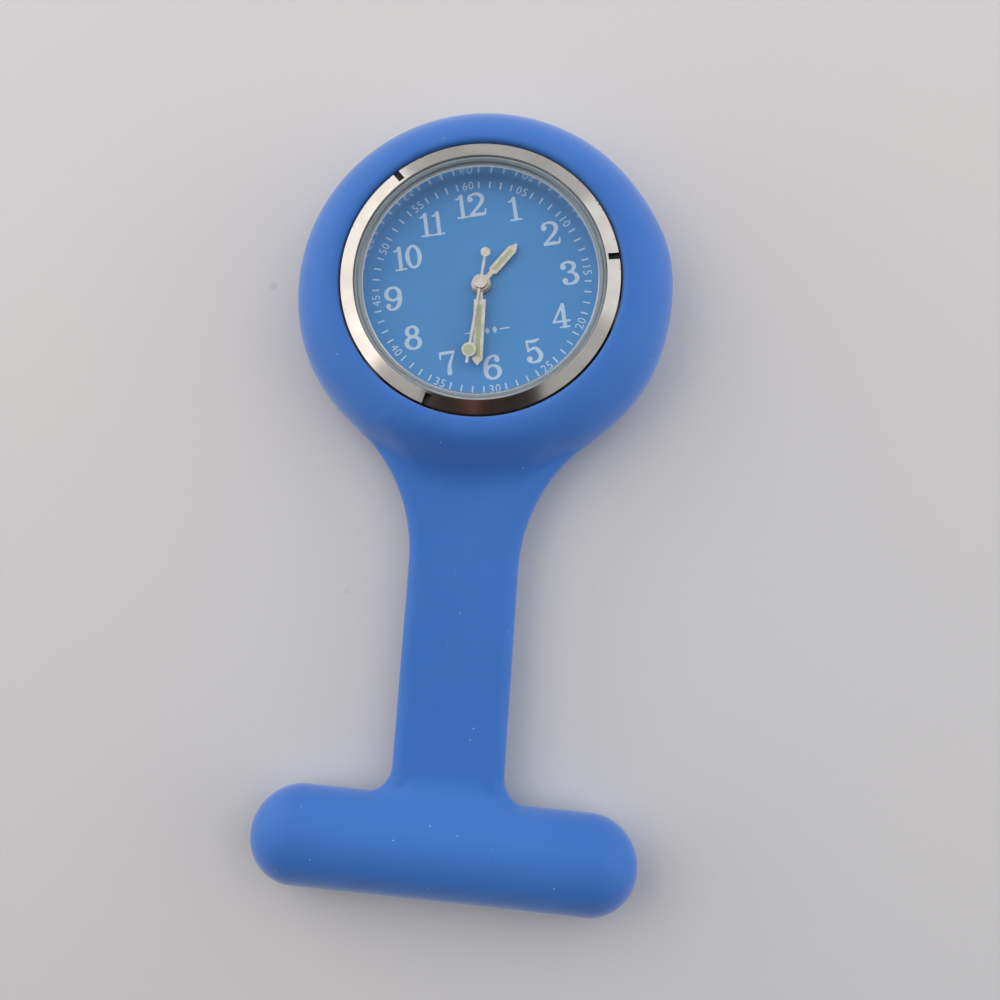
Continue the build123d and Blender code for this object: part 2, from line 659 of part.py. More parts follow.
# ================================================================ going train
third_module = 2 * third_distance / (centre_teeth + third_pinion_teeth)
fourth_module = 2 * third_distance / (third_teeth + fourth_pinion_teeth)
step_module = 2 * step_distance / (fourth_teeth + step_pinion_teeth)
rotor_module = 2 * rotor_distance / (step_teeth + rotor_pinion_teeth)
pivot_z = bridge_bottom_z + 0.1
upper_pivot_z = plate_bottom_z + 0.3

with BuildPart() as centre_wheel:
    tube_bore = staff_radius + tube_gap
    gear(spot(0, 0, centre_gear_z), wheel_thickness, centre_teeth, third_module,
         direction(centre, third_place), tube_bore)
    disc(centre, centre_gear_z, minute_hand_z - centre_gear_z + hand_thickness, centre_tube_radius, tube_bore)
    gear(spot(0, 0, cannon_z), 0.35, cannon_teeth, motion_module,
         direction(centre, minute_wheel_place), tube_bore)
finish(centre_wheel, "centre_wheel")

with BuildPart() as third_wheel:
    pinion_phase = meshed_phase(direction(centre, third_place), centre_teeth, centre,
                                third_pinion_teeth, third_place)
    gear(spot(*third_place, third_gear_z), wheel_thickness, third_teeth, fourth_module,
         direction(third_place, centre))
    gear(spot(*third_place, third_gear_z), centre_gear_z + wheel_thickness + 0.1 - third_gear_z,
         third_pinion_teeth, third_module, pinion_phase)
    disc(third_place, bridge_top_z + 0.05, plate_bottom_z - bridge_top_z - 0.1, arbor_radius)
    disc(third_place, pivot_z, upper_pivot_z - pivot_z, pivot_radius)
finish(third_wheel, "third_wheel")

with BuildPart() as fourth_wheel:
    pinion_phase = meshed_phase(direction(third_place, centre), third_teeth, third_place,
                                fourth_pinion_teeth, centre)
    gear(spot(0, 0, fourth_gear_z), wheel_thickness, fourth_teeth, step_module,
         direction(centre, step_place))
    gear(spot(0, 0, fourth_gear_z), third_gear_z + wheel_thickness + 0.1 - fourth_gear_z,
         fourth_pinion_teeth, fourth_module, pinion_phase)
    disc(centre, bridge_top_z + 0.05, second_hand_z + hand_thickness - bridge_top_z - 0.05, staff_radius)
    disc(centre, pivot_z, 1, pivot_radius)
finish(fourth_wheel, "fourth_wheel")

with BuildPart() as step_wheel:
    pinion_phase = meshed_phase(direction(centre, step_place), fourth_teeth, centre,
                                step_pinion_teeth, step_place)
    gear(spot(*step_place, step_gear_z), wheel_thickness, step_teeth, rotor_module,
         direction(step_place, rotor_place))
    gear(spot(*step_place, step_gear_z + wheel_thickness), fourth_gear_z + wheel_thickness + 0.05
         - step_gear_z - wheel_thickness, step_pinion_teeth, step_module, pinion_phase)
    disc(step_place, bridge_top_z + 0.05, plate_bottom_z - bridge_top_z - 0.1, arbor_radius)
    disc(step_place, pivot_z, upper_pivot_z - pivot_z, pivot_radius)
finish(step_wheel, "step_wheel")

with BuildPart() as rotor_pinion:
    pinion_phase = meshed_phase(direction(step_place, rotor_place), step_teeth, step_place,
                                rotor_pinion_teeth, rotor_place)
    gear(spot(*rotor_place, step_gear_z - 0.05), wheel_thickness + 0.25, rotor_pinion_teeth,
         rotor_module, pinion_phase)
    disc(rotor_place, bridge_top_z + 0.05, plate_bottom_z - bridge_top_z - 0.1, arbor_radius)
    disc(rotor_place, pivot_z, upper_pivot_z - pivot_z, pivot_radius)
finish(rotor_pinion, "rotor_pinion")

with BuildPart() as rotor_magnet:
    disc(rotor_place, stator_z - 0.1, 0.6, 0.85, arbor_radius + 0.01)
finish(rotor_magnet, "rotor_magnet")

# ================================================================ motion work
with BuildPart() as minute_wheel:
    wheel_phase = meshed_phase(direction(centre, minute_wheel_place), cannon_teeth, centre,
                               minute_wheel_teeth, minute_wheel_place)
    pinion_phase = direction(minute_wheel_place, centre)
    gear(spot(*minute_wheel_place, minute_gear_z), wheel_thickness, minute_wheel_teeth, motion_module,
         wheel_phase, 0.2 + shaft_gap)
    gear(spot(*minute_wheel_place, minute_gear_z + wheel_thickness), 0.42, minute_pinion_teeth,
         hour_module, pinion_phase, 0.2 + shaft_gap)
finish(minute_wheel, "minute_wheel")

with BuildPart() as setting_wheel:
    setting_phase = meshed_phase(wheel_phase, minute_wheel_teeth, minute_wheel_place,
                                 setting_teeth, setting_place)
    gear(spot(*setting_place, minute_gear_z), wheel_thickness, setting_teeth, motion_module,
         setting_phase, 0.2 + shaft_gap)
finish(setting_wheel, "setting_wheel")

with BuildPart() as hour_wheel:
    hour_phase = meshed_phase(pinion_phase, minute_pinion_teeth, minute_wheel_place, hour_teeth, centre)
    gear(spot(0, 0, hour_gear_z), 0.2, hour_teeth, hour_module, hour_phase,
         centre_tube_radius + tube_gap)
    disc(centre, hour_gear_z, hour_hand_z + hand_thickness - hour_gear_z, hour_tube_radius,
         centre_tube_radius + tube_gap)
finish(hour_wheel, "hour_wheel")

# ================================================================ keyless work
stem_start_x = 4.3
crown_start_x = case_radius + 0.3
groove_width = 0.45
with BuildPart() as winding_stem:
    rod(stem_cross(stem_start_x), 0.7, 0.28)
    block(stem_cross(stem_start_x + 0.7), 0.56, 0.56, 2.0)
    rod(stem_cross(clutch_x + clutch_length + 0.15), groove_x - groove_width / 2 - clutch_x
        - clutch_length - 0.15, stem_radius)
    rod(stem_cross(clutch_x), groove_x - clutch_x + 2, 0.28)
    rod(stem_cross(groove_x + groove_width / 2), crown_start_x + crown_length - 0.4 - groove_x
        - groove_width / 2, stem_radius)
finish(winding_stem, "winding_stem")

with BuildPart() as sliding_pinion:
    with BuildSketch(stem_cross(clutch_x)) as clutch_teeth:
        Circle(0.8)
        with PolarLocations(0.8, 10):
            Rectangle(0.3, 0.22, mode=Mode.SUBTRACT)
    extrude(to_extrude=clutch_teeth.sketch, amount=0.35)
    rod(stem_cross(clutch_x + 0.35), 0.3, 0.5)
    rod(stem_cross(clutch_x + 0.65), clutch_length - 0.65, 0.8)
    block(stem_cross(clutch_x - 1), 0.62, 0.62, clutch_length + 2, 0, Mode.SUBTRACT)
finish(sliding_pinion, "sliding_pinion")

with BuildPart() as setting_lever:
    lever_z = recess_floor_z + 0.1
    pin_reach = lever_pivot[1]
    with BuildSketch(spot(0, 0, lever_z)) as lever_plan:
        with Locations(lever_pivot, (groove_x, 0.1)):
            Circle(0.55)
        make_hull()
        with Locations(lever_pivot):
            Circle(0.3 + shaft_gap, mode=Mode.SUBTRACT)
    extrude(to_extrude=lever_plan.sketch, amount=0.25)
    disc((groove_x, 0), stem_z + 0.33, lever_z - stem_z - 0.3, 0.13)
finish(setting_lever, "setting_lever")

with BuildPart() as yoke:
    with BuildSketch(spot(0, 0, lever_z)) as yoke_plan:
        with Locations((6.6, -2.4), (clutch_x + 0.5, -0.55)):
            Circle(0.3)
        make_hull()
        with Locations((6.6, -2.4)):
            Circle(0.5)
    extrude(to_extrude=yoke_plan.sketch, amount=0.25)
    disc((6.6, -2.4), recess_floor_z, 0.4, 0.3)
finish(yoke, "yoke")

with BuildPart() as crown:
    flute_count = 30
    with BuildSketch(stem_cross(crown_start_x)) as crown_plan:
        Circle(crown_radius)
        with PolarLocations(crown_radius, flute_count):
            Circle(0.09, mode=Mode.SUBTRACT)
    extrude(to_extrude=crown_plan.sketch, amount=crown_length)
    rod(stem_cross(crown_start_x - 0.1), 1.0, 1.1, Mode.SUBTRACT)
    rod(stem_cross(crown_start_x), crown_length - 0.4, stem_radius + glue_gap, Mode.SUBTRACT)
finish(crown, "crown")

with BuildPart() as crown_gasket:
    rod(stem_cross(crown_start_x + 0.5), 0.38, 1.08)
    rod(stem_cross(crown_start_x), 2, 0.9, Mode.SUBTRACT)
finish(crown_gasket, "crown_gasket")

# ================================================================ hands
hour_length, hour_width, hour_hub = 6.05, 1.05, 1.07
minute_length, minute_width, minute_hub = 9.3, 1.3, 0.95
second_length, second_tail, second_hub = 9.25, 3.4, 0.75
hour_angle, minute_angle, second_angle = 48.7, 189.9, 196.8   # degrees clockwise from 12


def along_hand(angle, z):
    """A level plane on the head's axis, its x pointing along a hand."""
    return head.offset(z).rotated((0, 0, 90 - angle))


def blade(points, plane, height, mode=Mode.ADD):
    """A flat piece that is the same on both sides of its centre line."""
    mirrored = [(x, -y) for x, y in reversed(points)]
    with BuildSketch(plane) as outline:
        with BuildLine():
            Polyline(*points, *mirrored, close=True)
        make_face()
    extrude(to_extrude=outline.sketch, amount=height, mode=mode)


hour_window = ((2.15, 0.225), (5.1, 0.225))
minute_window = ((2.5, 0.26), (8.35, 0.26))
with BuildPart() as hour_hand:
    plane = along_hand(hour_angle, hour_hand_z)
    disc(centre, hour_hand_z, hand_thickness, hour_hub)
    blade(((0.6, 0.275), (1.8, 0.275), (1.95, hour_width / 2), (5.25, hour_width / 2), (hour_length, 0.05)),
          plane, hand_thickness)
    blade(hour_window, plane.offset(-0.5), 1, Mode.SUBTRACT)
    disc(centre, hour_hand_z - 0.5, 1, hour_tube_radius + glue_gap, 0, Mode.SUBTRACT)
finish(hour_hand, "hour_hand")

with BuildPart() as hour_lume:
    blade(hour_window, along_hand(hour_angle, hour_hand_z + 0.01), hand_thickness - 0.02)
finish(hour_lume, "hour_lume")

with BuildPart() as minute_hand:
    plane = along_hand(minute_angle, minute_hand_z)
    disc(centre, minute_hand_z, hand_thickness + 0.08, minute_hub)
    blade(((0.6, 0.3), (1.9, 0.3), (1.9, minute_width / 2), (8.65, minute_width / 2 - 0.08),
           (minute_length, 0.05)), plane, hand_thickness)
    blade(minute_window, plane.offset(-0.5), 1, Mode.SUBTRACT)
    disc(centre, minute_hand_z - 0.5, 1, centre_tube_radius + glue_gap, 0, Mode.SUBTRACT)
finish(minute_hand, "minute_hand")

with BuildPart() as minute_lume:
    blade(minute_window, along_hand(minute_angle, minute_hand_z + 0.01), hand_thickness - 0.02)
finish(minute_lume, "minute_lume")

lume_radius, lume_x = 0.79, 7.75
with BuildPart() as second_hand:
    plane = along_hand(second_angle, second_hand_z)
    blade(((-second_tail, 0.125), (second_length, 0.145)), plane, hand_thickness)
    lume_place = plane.from_local_coords((lume_x, 0, 0))
    tail_place = plane.from_local_coords((-second_tail, 0, 0))
    rod(Plane(origin=lume_place), hand_thickness, lume_radius)
    rod(Plane(origin=lume_place - Vector(0, 0, 0.5)), 1, lume_radius - 0.25, Mode.SUBTRACT)
    rod(Plane(origin=tail_place), hand_thickness, 0.53)
    disc(centre, second_hand_z, second_hub_top_z - second_hand_z, second_hub)
    disc(centre, second_hand_z - 0.5, 0.5 + hand_thickness, staff_radius + glue_gap, 0, Mode.SUBTRACT)
finish(second_hand, "second_hand")

with BuildPart() as second_lume:
    rod(Plane(origin=lume_place + Vector(0, 0, 0.01)), hand_thickness - 0.02, lume_radius - 0.25 - 0.01)
finish(second_lume, "second_lume")
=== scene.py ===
"""Silicone fob watch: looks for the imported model.

A round quartz watch head sits in a one-piece silicone holder with a brooch pin in its bar.
The frame is the CAD's: the origin is on the watch head's axis in the plane of the back,
+Z comes out of the dial and +Y runs from the pin bar to the ring.
Sizes named below are in millimetres; everything handed to Blender is in metres.
"""

import math

import bmesh
import bpy
import numpy as np
from mathutils import Matrix, Vector
from mathutils.geometry import delaunay_2d_cdt


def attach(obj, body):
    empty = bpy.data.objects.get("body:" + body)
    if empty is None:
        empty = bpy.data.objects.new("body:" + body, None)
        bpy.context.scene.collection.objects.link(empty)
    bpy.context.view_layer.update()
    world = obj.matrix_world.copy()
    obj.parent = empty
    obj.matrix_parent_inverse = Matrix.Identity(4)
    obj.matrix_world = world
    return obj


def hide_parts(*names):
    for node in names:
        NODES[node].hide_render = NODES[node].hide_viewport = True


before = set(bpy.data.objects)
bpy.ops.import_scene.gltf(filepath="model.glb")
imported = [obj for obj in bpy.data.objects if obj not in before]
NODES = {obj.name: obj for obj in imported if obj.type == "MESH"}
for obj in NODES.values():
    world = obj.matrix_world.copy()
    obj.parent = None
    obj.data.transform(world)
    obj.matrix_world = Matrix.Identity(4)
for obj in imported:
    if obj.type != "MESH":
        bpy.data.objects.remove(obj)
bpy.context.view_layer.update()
MM = 0.001

# ---------------------------------------------------------------- sizes of the silicone, mm
HEAD_TURN = math.radians(11.5)      # the watch head stands turned in its holder
RING_EDGE = 21.25                   # ring, widest, where nothing fills it out
RING_EDGE_Z = 2.6
RING_FOOT = 1.5                     # rounded corner between side and back
CREST = 16.0                        # highest line of the lip
CREST_Z = 9.2
RING_FULLNESS = 1.9                 # 1 is a straight cone, 2 a quarter ellipse
BROW_FULLNESS = 2.5                 # the same above the neck, where the ring drops more sharply
BROW_STEEPNESS = 0.42               # how much sooner the ring drops there
BROW_SPAN = (12, 37)                # degrees either side of the neck: full, and faded out
SHOULDER_SLIMMING = 0.34            # the ring's side is this much slimmer beside the neck
SHOULDER_SPAN = (40, 68)
CROWN_SWELLING = 0.34               # and this much fuller over the crown
CROWN_BEARING, CROWN_SPREAD = math.radians(15), math.radians(14)
OPENING = 12.8                      # hole in the back that shows the case back
BORE = 15.4
GROOVE = 16.45                      # groove that traps the head's flange
GROOVE_LOW, GROOVE_HIGH = 1.25, 2.35
MOUTH_Z, MOUTH_FLARE = 8.7, 0.3     # the bore opens out by this much above this height
NECK_HALF = 6.05
NECK_LOW, NECK_HIGH = 0.9, 4.3
NECK_EDGE = 1.45                    # rounding of the neck's long edges
ROOT_CIRCLE = 20.9                  # the neck's flare springs from this circle
FLARE = 18.7
ROOT_BLEND = 5.2                    # softness of the corner where the neck's face meets the ring
BAR_Y = -60.9
BAR_SKEW = math.radians(-1.1)
BAR_HALF_LENGTH = 20.55
BAR_HALF_WIDTH = 5.2
BAR_HIGH = 8.0
BAR_FOOT = 2.0
BAR_FILLET = 3.1
BAR_INSET = 0.3                     # the neck's slab ends this far inside the bar's side
BAR_BLEND = 2.4                     # softness of the corner where the neck's face meets the bar
EDGE_BLEND = 0.3                    # softness of both corners at the neck's edges
STEM_Z = 4.2
CROWN_ROOM = (18.5, 1.9, math.radians(22))      # reach, half height and half angle of the crown's pocket
SEAT_ROOM = (17.0, 3.5, 2.8, 3.5, 1.4)          # brooch plate: half length, half width, low, high, corner
MOUTH_ROOM = (16.3, 2.8, -1.0, 2.95, 1.2)       # and the slot below it
INSIDE = -4.0                       # outlines turned about the head's axis start beyond it
NET_STEP, QUICK_STEP = 0.32, 0.5    # cells of the skin's net

# ---------------------------------------------------------------- places on the watch head, mm
NOTCH_BEARINGS = (0, 120, 240)      # degrees from the crown
NOTCH_HALF = 0.36                   # half width of a bezel notch
NOTCH_START = 13.95                 # its inner end
BEZEL_RIM = (14.6, 15.1)            # pits fade in towards the bezel's edge
DIAL_SHADE_RIM = (11.2, 13.2)             # painted shade: the lacquer is painted darker towards the dial's edge, as shade under the dial ring
CRYSTAL_TOP = 9.35
CRYSTAL_BEVEL = (12.85, 12.98)      # the ground bevel starts between these radii

# ---------------------------------------------------------------- sizes of the dial print, mm
DIAL_TOP = 6.061
INK = 0.014                         # thickness of the printed ink
HOUR_HEIGHT = 2.8
HOUR_RADII = (9.49, 9.6, 9.72, 9.87, 9.45, 9.5, 9.39, 9.49, 9.55, 9.88, 8.98, 9.21)   # from 12 round to 11
TRACK_RADIUS = 11.8
TRACK_HEIGHT = 0.92                 # minute figures
TRACK_WIDTH = 0.98 * TRACK_HEIGHT   # they are drawn a little narrow
TICK_LENGTH, TICK_WIDTH = 0.78, 0.17
ORNAMENT_Y = -5.2
RULE_ENDS = (1.42, 2.42)            # the ornament's rules, from its middle
RULE_HALF = 0.07
LOZENGES = (-0.82, 0.0, 0.82)
LOZENGE_WIDTH, LOZENGE_HEIGHT = 0.24, 0.38      # both halved


# ================================================================ shader tools
def tint(red, green, blue):
    """A colour given as it looks on screen, 0 to 255, turned into the light it stands for."""
    def light(v):
        v = v / 255
        return v / 12.92 if v <= 0.04045 else ((v + 0.055) / 1.055) ** 2.4
    return (light(red), light(green), light(blue), 1.0)


class Wire:
    """A number on its way between shader nodes, with ordinary arithmetic."""

    def __init__(self, finish, socket):
        self.finish, self.socket = finish, socket

    def _sum(self, operation, *values):
        made = self.finish.node("ShaderNodeMath", {"operation": operation}, dict(enumerate(values)))
        return Wire(self.finish, made.outputs[0])

    def __add__(self, other): return self._sum("ADD", self, other)
    def __radd__(self, other): return self._sum("ADD", other, self)
    def __sub__(self, other): return self._sum("SUBTRACT", self, other)
    def __rsub__(self, other): return self._sum("SUBTRACT", other, self)
    def __mul__(self, other): return self._sum("MULTIPLY", self, other)
    def __rmul__(self, other): return self._sum("MULTIPLY", other, self)
    def __pow__(self, other): return self._sum("POWER", self, other)
    def __gt__(self, other): return self._sum("GREATER_THAN", self, other)
    def __lt__(self, other): return self._sum("LESS_THAN", self, other)
    def sine(self): return self._sum("SINE", self)
    def size(self): return self._sum("ABSOLUTE", self)

    def between(self, start, end):
        """0 at start, 1 at end, smooth in between and level outside."""
        made = self.finish.node(
            "ShaderNodeMapRange", {"interpolation_type": "SMOOTHSTEP"},
            {"Value": self, "From Min": start, "From Max": end})
        return Wire(self.finish, made.outputs["Result"])


class Nodes:
    """A node tree whose nodes are added one at a time."""

    def node(self, kind, settings=None, sockets=None):
        """Adds a node. Settings come first, because they decide which sockets there are."""
        made = self.tree.nodes.new(kind)
        for key, value in (settings or {}).items():
            setattr(made, key, value)
        for key, value in (sockets or {}).items():
            socket = made.inputs[key] if isinstance(key, int) else self._socket(made, key)
            value = value.socket if isinstance(value, Wire) else value
            if isinstance(value, bpy.types.NodeSocket):
                self.tree.links.new(value, socket)
            else:
                socket.default_value = value
        return made

    @staticmethod
    def _socket(made, key):
        for socket in made.inputs:
            if key in (socket.identifier, socket.name) and socket.enabled:
                return socket
        raise KeyError(f"{made.bl_idname} has no socket {key}")


class Finish(Nodes):
    """One surface finish: a material and the patterns that its nodes make."""

    def __init__(self, name):
        self.material = bpy.data.materials.new(name)
        self.material.use_nodes = True
        self.tree = self.material.node_tree
        self.tree.nodes.clear()
        self.place = self.node("ShaderNodeTexCoord").outputs["Object"]

    def grain(self, per_mm, detail=3.0, place=None, stretch=None):
        """Soft noise, 0 to 1, with about that many lumps in a millimetre."""
        place = self.place if place is None else place
        if stretch:
            place = self.node("ShaderNodeMapping", {}, {"Vector": place, "Scale": stretch}).outputs[0]
        made = self.node("ShaderNodeTexNoise", {"noise_dimensions": "3D"},
                         {"Vector": place, "Scale": per_mm / MM, "Detail": detail, "Roughness": 0.55})
        return Wire(self, made.outputs[0])

    def specks(self, per_mm, size, share):
        """1 on a few small round specks, 0 elsewhere. share is how many of the cells hold one."""
        cells = self.node("ShaderNodeTexVoronoi", {"feature": "F1"},
                          {"Vector": self.place, "Scale": per_mm / MM})
        pick = self.node("ShaderNodeSeparateColor", {}, {"Color": cells.outputs["Color"]})
        near = 1 - Wire(self, cells.outputs["Distance"]).between(size * 0.6, size)
        return near * (Wire(self, pick.outputs[0]) < share)

    def across(self):
        """The three object coordinates in millimetres."""
        parts = self.node("ShaderNodeSeparateXYZ", {}, {"Vector": self.place})
        return tuple(Wire(self, s) * (1 / MM) for s in parts.outputs)

    def radius(self):
        """Distance from the watch head's axis, in millimetres."""
        x, y, _ = self.across()
        return (x * x + y * y) ** 0.5

    def blend(self, share, first, second):
        """first where share is 0, second where it is 1."""
        made = self.node("ShaderNodeMix", {"data_type": "RGBA"},
                         {"Factor_Float": share, "A_Color": first, "B_Color": second})
        return next(s for s in made.outputs if s.identifier == "Result_Color")

    def bump(self, height, depth_mm, strength=1.0):
        """A surface normal from a height of 0 to 1 that stands for depth_mm."""
        return self.node("ShaderNodeBump", {}, {"Height": height, "Distance": depth_mm * MM,
                                                 "Strength": strength}).outputs[0]

    def show(self, **sockets):
        """The lit surface. Socket names are written with underscores."""
        named = {key.replace("_", " "): value for key, value in sockets.items()}
        surface = self.node("ShaderNodeBsdfPrincipled", {}, named)
        return self.output(surface.outputs[0])

    def output(self, shader):
        self.node("ShaderNodeOutputMaterial", {}, {"Surface": shader})
        return self.material


# ================================================================ finishes
def silicone_finish():
    """Matte dyed silicone: a fine moulded grain, faint marbling, a few specks of dust."""
    f = Finish("silicone_blue")
    marbling = f.grain(0.06, 2.0)
    mottle = f.grain(0.9, 4.0)
    rubber = f.blend(marbling.between(0.35, 0.65), tint(52, 111, 194), tint(57, 117, 199))
    rubber = f.blend(mottle.between(0.55, 0.8) * 0.22, rubber, tint(72, 128, 204))
    dust = f.specks(0.6, 0.045, 0.6)
    rubber = f.blend(dust * 0.75, rubber, tint(212, 220, 232))
    skin = f.grain(7.0, 2.0)
    wave = f.grain(0.35, 2.0)
    return f.show(Base_Color=rubber, Roughness=0.56 + mottle * 0.1 + dust * 0.2,
                  Normal=f.bump(skin * 0.35 + wave, 0.035, 0.55), Specular_IOR_Level=0.35,
                  Sheen_Weight=0.45, Sheen_Roughness=0.4)


def steel_finish(name, bright, dull, roughness, scratches=0.35, turned=False, depth=0.004):
    """Stainless steel. Turned steel has fine rings round the head's axis, polished steel hairlines."""
    f = Finish(name)
    cloud = f.grain(0.5, 3.0)
    if turned:
        lines = f.grain(2.2, 3.0, place=f.node("ShaderNodeCombineXYZ", {}, {"X": f.radius() * MM}).outputs[0])
    else:
        lines = f.grain(1.6, 4.0, stretch=(1.0, 9.0, 3.0))
    hair = lines.between(0.52, 0.72)
    metal = f.blend(cloud.between(0.3, 0.7) * 0.4, bright, dull)
    metal = f.blend(hair * scratches * (1.4 if turned else 0.6), metal, dull)
    return f.show(Base_Color=metal, Metallic=1.0,
                  Roughness=roughness + cloud * 0.04 + hair * scratches * 0.2,
                  Normal=f.bump(lines, depth, 0.5))


def bezel_finish():
    """The bezel's polished cone: fine pits along its outer edge, hairlines, and its notches painted nearly
    black.
    """
    f = Finish("bezel_steel")
    r = f.radius()
    cloud = f.grain(0.25, 2.0)
    pits = f.specks(2.6, 0.22, 0.25) * r.between(*BEZEL_RIM)
    lines = f.grain(1.3, 4.0, stretch=(1.0, 7.0, 1.0))
    metal = f.blend(cloud.between(0.3, 0.7), tint(193, 189, 182), tint(180, 175, 168))
    metal = f.blend(pits * 0.9, metal, tint(38, 36, 36))
    x, y, _ = f.across()
    # the bezel's notches are painted nearly black and made rougher
    notch_dark = 0
    for turn in NOTCH_BEARINGS:
        c, s = math.cos(HEAD_TURN + math.radians(turn)), math.sin(HEAD_TURN + math.radians(turn))
        notch_dark = notch_dark + ((y * c - x * s).size() < NOTCH_HALF) * ((x * c + y * s) > NOTCH_START)
    metal = f.blend(notch_dark * 0.92, metal, tint(30, 28, 28))
    return f.show(Base_Color=metal, Metallic=1.0, Roughness=0.09 + cloud * 0.06 + pits * 0.4 + notch_dark * 0.4,
                  Normal=f.bump(lines, 0.003, 0.35))


def brass_finish(name, bright, dull, roughness=0.26):
    """Machined brass with a light tarnish and fine turning marks."""
    f = Finish(name)
    tarnish = f.grain(0.8, 4.0)
    marks = f.grain(2.4, 3.0, stretch=(1.0, 8.0, 1.0))
    metal = f.blend(tarnish.between(0.35, 0.75), bright, dull)
    return f.show(Base_Color=metal, Metallic=1.0, Roughness=roughness + tarnish * 0.16,
                  Normal=f.bump(marks, 0.006, 0.5))


def dial_finish():
    """Sky-blue lacquer with a faint sheen, painted a little darker towards its edge as shade from the dial
    ring.
    """
    f = Finish("dial_lacquer")
    cloud = f.grain(0.15, 2.0)
    lacquer = f.blend(cloud.between(0.35, 0.65), tint(64, 140, 204), tint(69, 144, 207))
    # painted shade: darker lacquer towards the edge, where the dial ring shades the dial
    lacquer = f.blend(f.radius().between(*DIAL_SHADE_RIM) * 0.25, lacquer, tint(62, 128, 186))
    speck = f.grain(9.0, 2.0)
    return f.show(Base_Color=lacquer, Roughness=0.42 + speck * 0.12, Normal=f.bump(speck, 0.004, 0.3),
                  Specular_IOR_Level=0.4)


def ink_finish():
    """White printing ink, slightly uneven over the lacquer."""
    f = Finish("white_ink")
    patch = f.grain(6.0, 3.0)
    ink = f.blend(patch.between(0.3, 0.75), tint(178, 206, 230), tint(194, 217, 237))
    return f.show(Base_Color=ink, Roughness=0.5 + patch * 0.2, Normal=f.bump(patch, 0.004, 0.4))


def lume_finish():
    """Pale green luminous paint, grainy and matte, with a faint painted glow."""
    f = Finish("lume_paint")
    crumb = f.grain(9.0, 4.0)
    paint = f.blend(crumb.between(0.3, 0.7), tint(162, 176, 138), tint(186, 198, 158))
    # painted glow: a faint emission in the paint's own colour
    return f.show(Base_Color=paint, Roughness=0.75 + crumb * 0.15, Normal=f.bump(crumb, 0.03, 0.6),
                  Emission_Color=paint, Emission_Strength=0.02)


def hand_finish():
    """Bright stamped steel of the hands with rounded, burnished edges."""
    f = Finish("hand_steel")
    cloud = f.grain(1.5, 3.0)
    metal = f.blend(cloud.between(0.3, 0.7), tint(226, 222, 210), tint(204, 198, 184))
    return f.show(Base_Color=metal, Metallic=0.9, Roughness=0.3 + cloud * 0.14,
                  Normal=f.bump(cloud, 0.01, 0.5))


def crystal_finish():
    """Clear mineral crystal: what lies behind shows through, and its ground bevel is milky."""
    f = Finish("crystal_clear")
    r = f.radius()
    upper = f.across()[2] > CRYSTAL_TOP - 0.05
    bevel = r.between(*CRYSTAL_BEVEL)
    tilt = Wire(f, f.node("ShaderNodeLayerWeight", {}, {"Blend": 0.5}).outputs["Facing"])
    gloss = 0.035 + tilt ** 5 * 0.6
    clear = f.node("ShaderNodeBsdfTransparent", {}, {"Color": (1.0, 1.0, 1.0, 1.0)}).outputs[0]
    smear = f.grain(0.2, 3.0)
    shine = f.node("ShaderNodeBsdfGlossy", {"distribution": "GGX"},
                   {"Color": (1.0, 1.0, 1.0, 1.0), "Roughness": 0.02 + smear * 0.03}).outputs[0]
    ground = f.node("ShaderNodeBsdfPrincipled", {},
                    {"Base Color": tint(150, 165, 172), "Roughness": 0.22, "Coat Weight": 0.4}).outputs[0]
    pane = f.node("ShaderNodeMixShader", {}, {0: gloss * upper, 1: clear, 2: shine}).outputs[0]
    edge = f.node("ShaderNodeMixShader", {}, {0: bevel * (0.42 + smear * 0.1), 1: pane, 2: ground}).outputs[0]
    return f.output(edge)


def plastic_finish(name, colour, other, roughness=0.5, depth=0.02):
    """Moulded plastic or rubber: an even body colour, slight flow marks, a spark-eroded skin."""
    f = Finish(name)
    flow = f.grain(0.3, 3.0)
    skin = f.grain(5.0, 3.0)
    body = f.blend(flow.between(0.3, 0.7), colour, other)
    return f.show(Base_Color=body, Roughness=roughness + skin * 0.12, Normal=f.bump(skin, depth, 0.5))


def board_finish():
    """Green solder mask over a woven board, with tinned pads showing through."""
    f = Finish("solder_mask")
    x, y, _ = f.across()
    weave = (x * 16).sine() * (y * 16).sine()
    pads = f.specks(0.9, 0.34, 0.35)
    mask = f.blend(f.grain(0.7).between(0.35, 0.65), tint(22, 84, 52), tint(30, 102, 62))
    mask = f.blend(pads, mask, tint(198, 198, 190))
    return f.show(Base_Color=mask, Metallic=pads * 0.9, Roughness=0.38 - pads * 0.1,
                  Normal=f.bump(weave * 0.3 + pads, 0.012, 0.5))


def copper_finish():
    """Enamelled copper wire wound round a core: turns close together, a reddish sheen, and painted shade in
    the dark bands between the turns.
    """
    f = Finish("enamelled_wire")
    x, y, _ = f.across()
    along = x * -math.sin(HEAD_TURN) + y * math.cos(HEAD_TURN)
    turns = (along * 42).sine()
    # painted shade: each turn is painted dark where it dips between its neighbours
    wire = f.blend(turns.between(-0.8, 0.6), tint(92, 38, 22), tint(206, 112, 68))
    return f.show(Base_Color=wire, Metallic=0.85, Roughness=0.28 + f.grain(2.0) * 0.12,
                  Normal=f.bump(turns * 0.5 + 0.5, 0.05, 0.8), Coat_Weight=0.3)


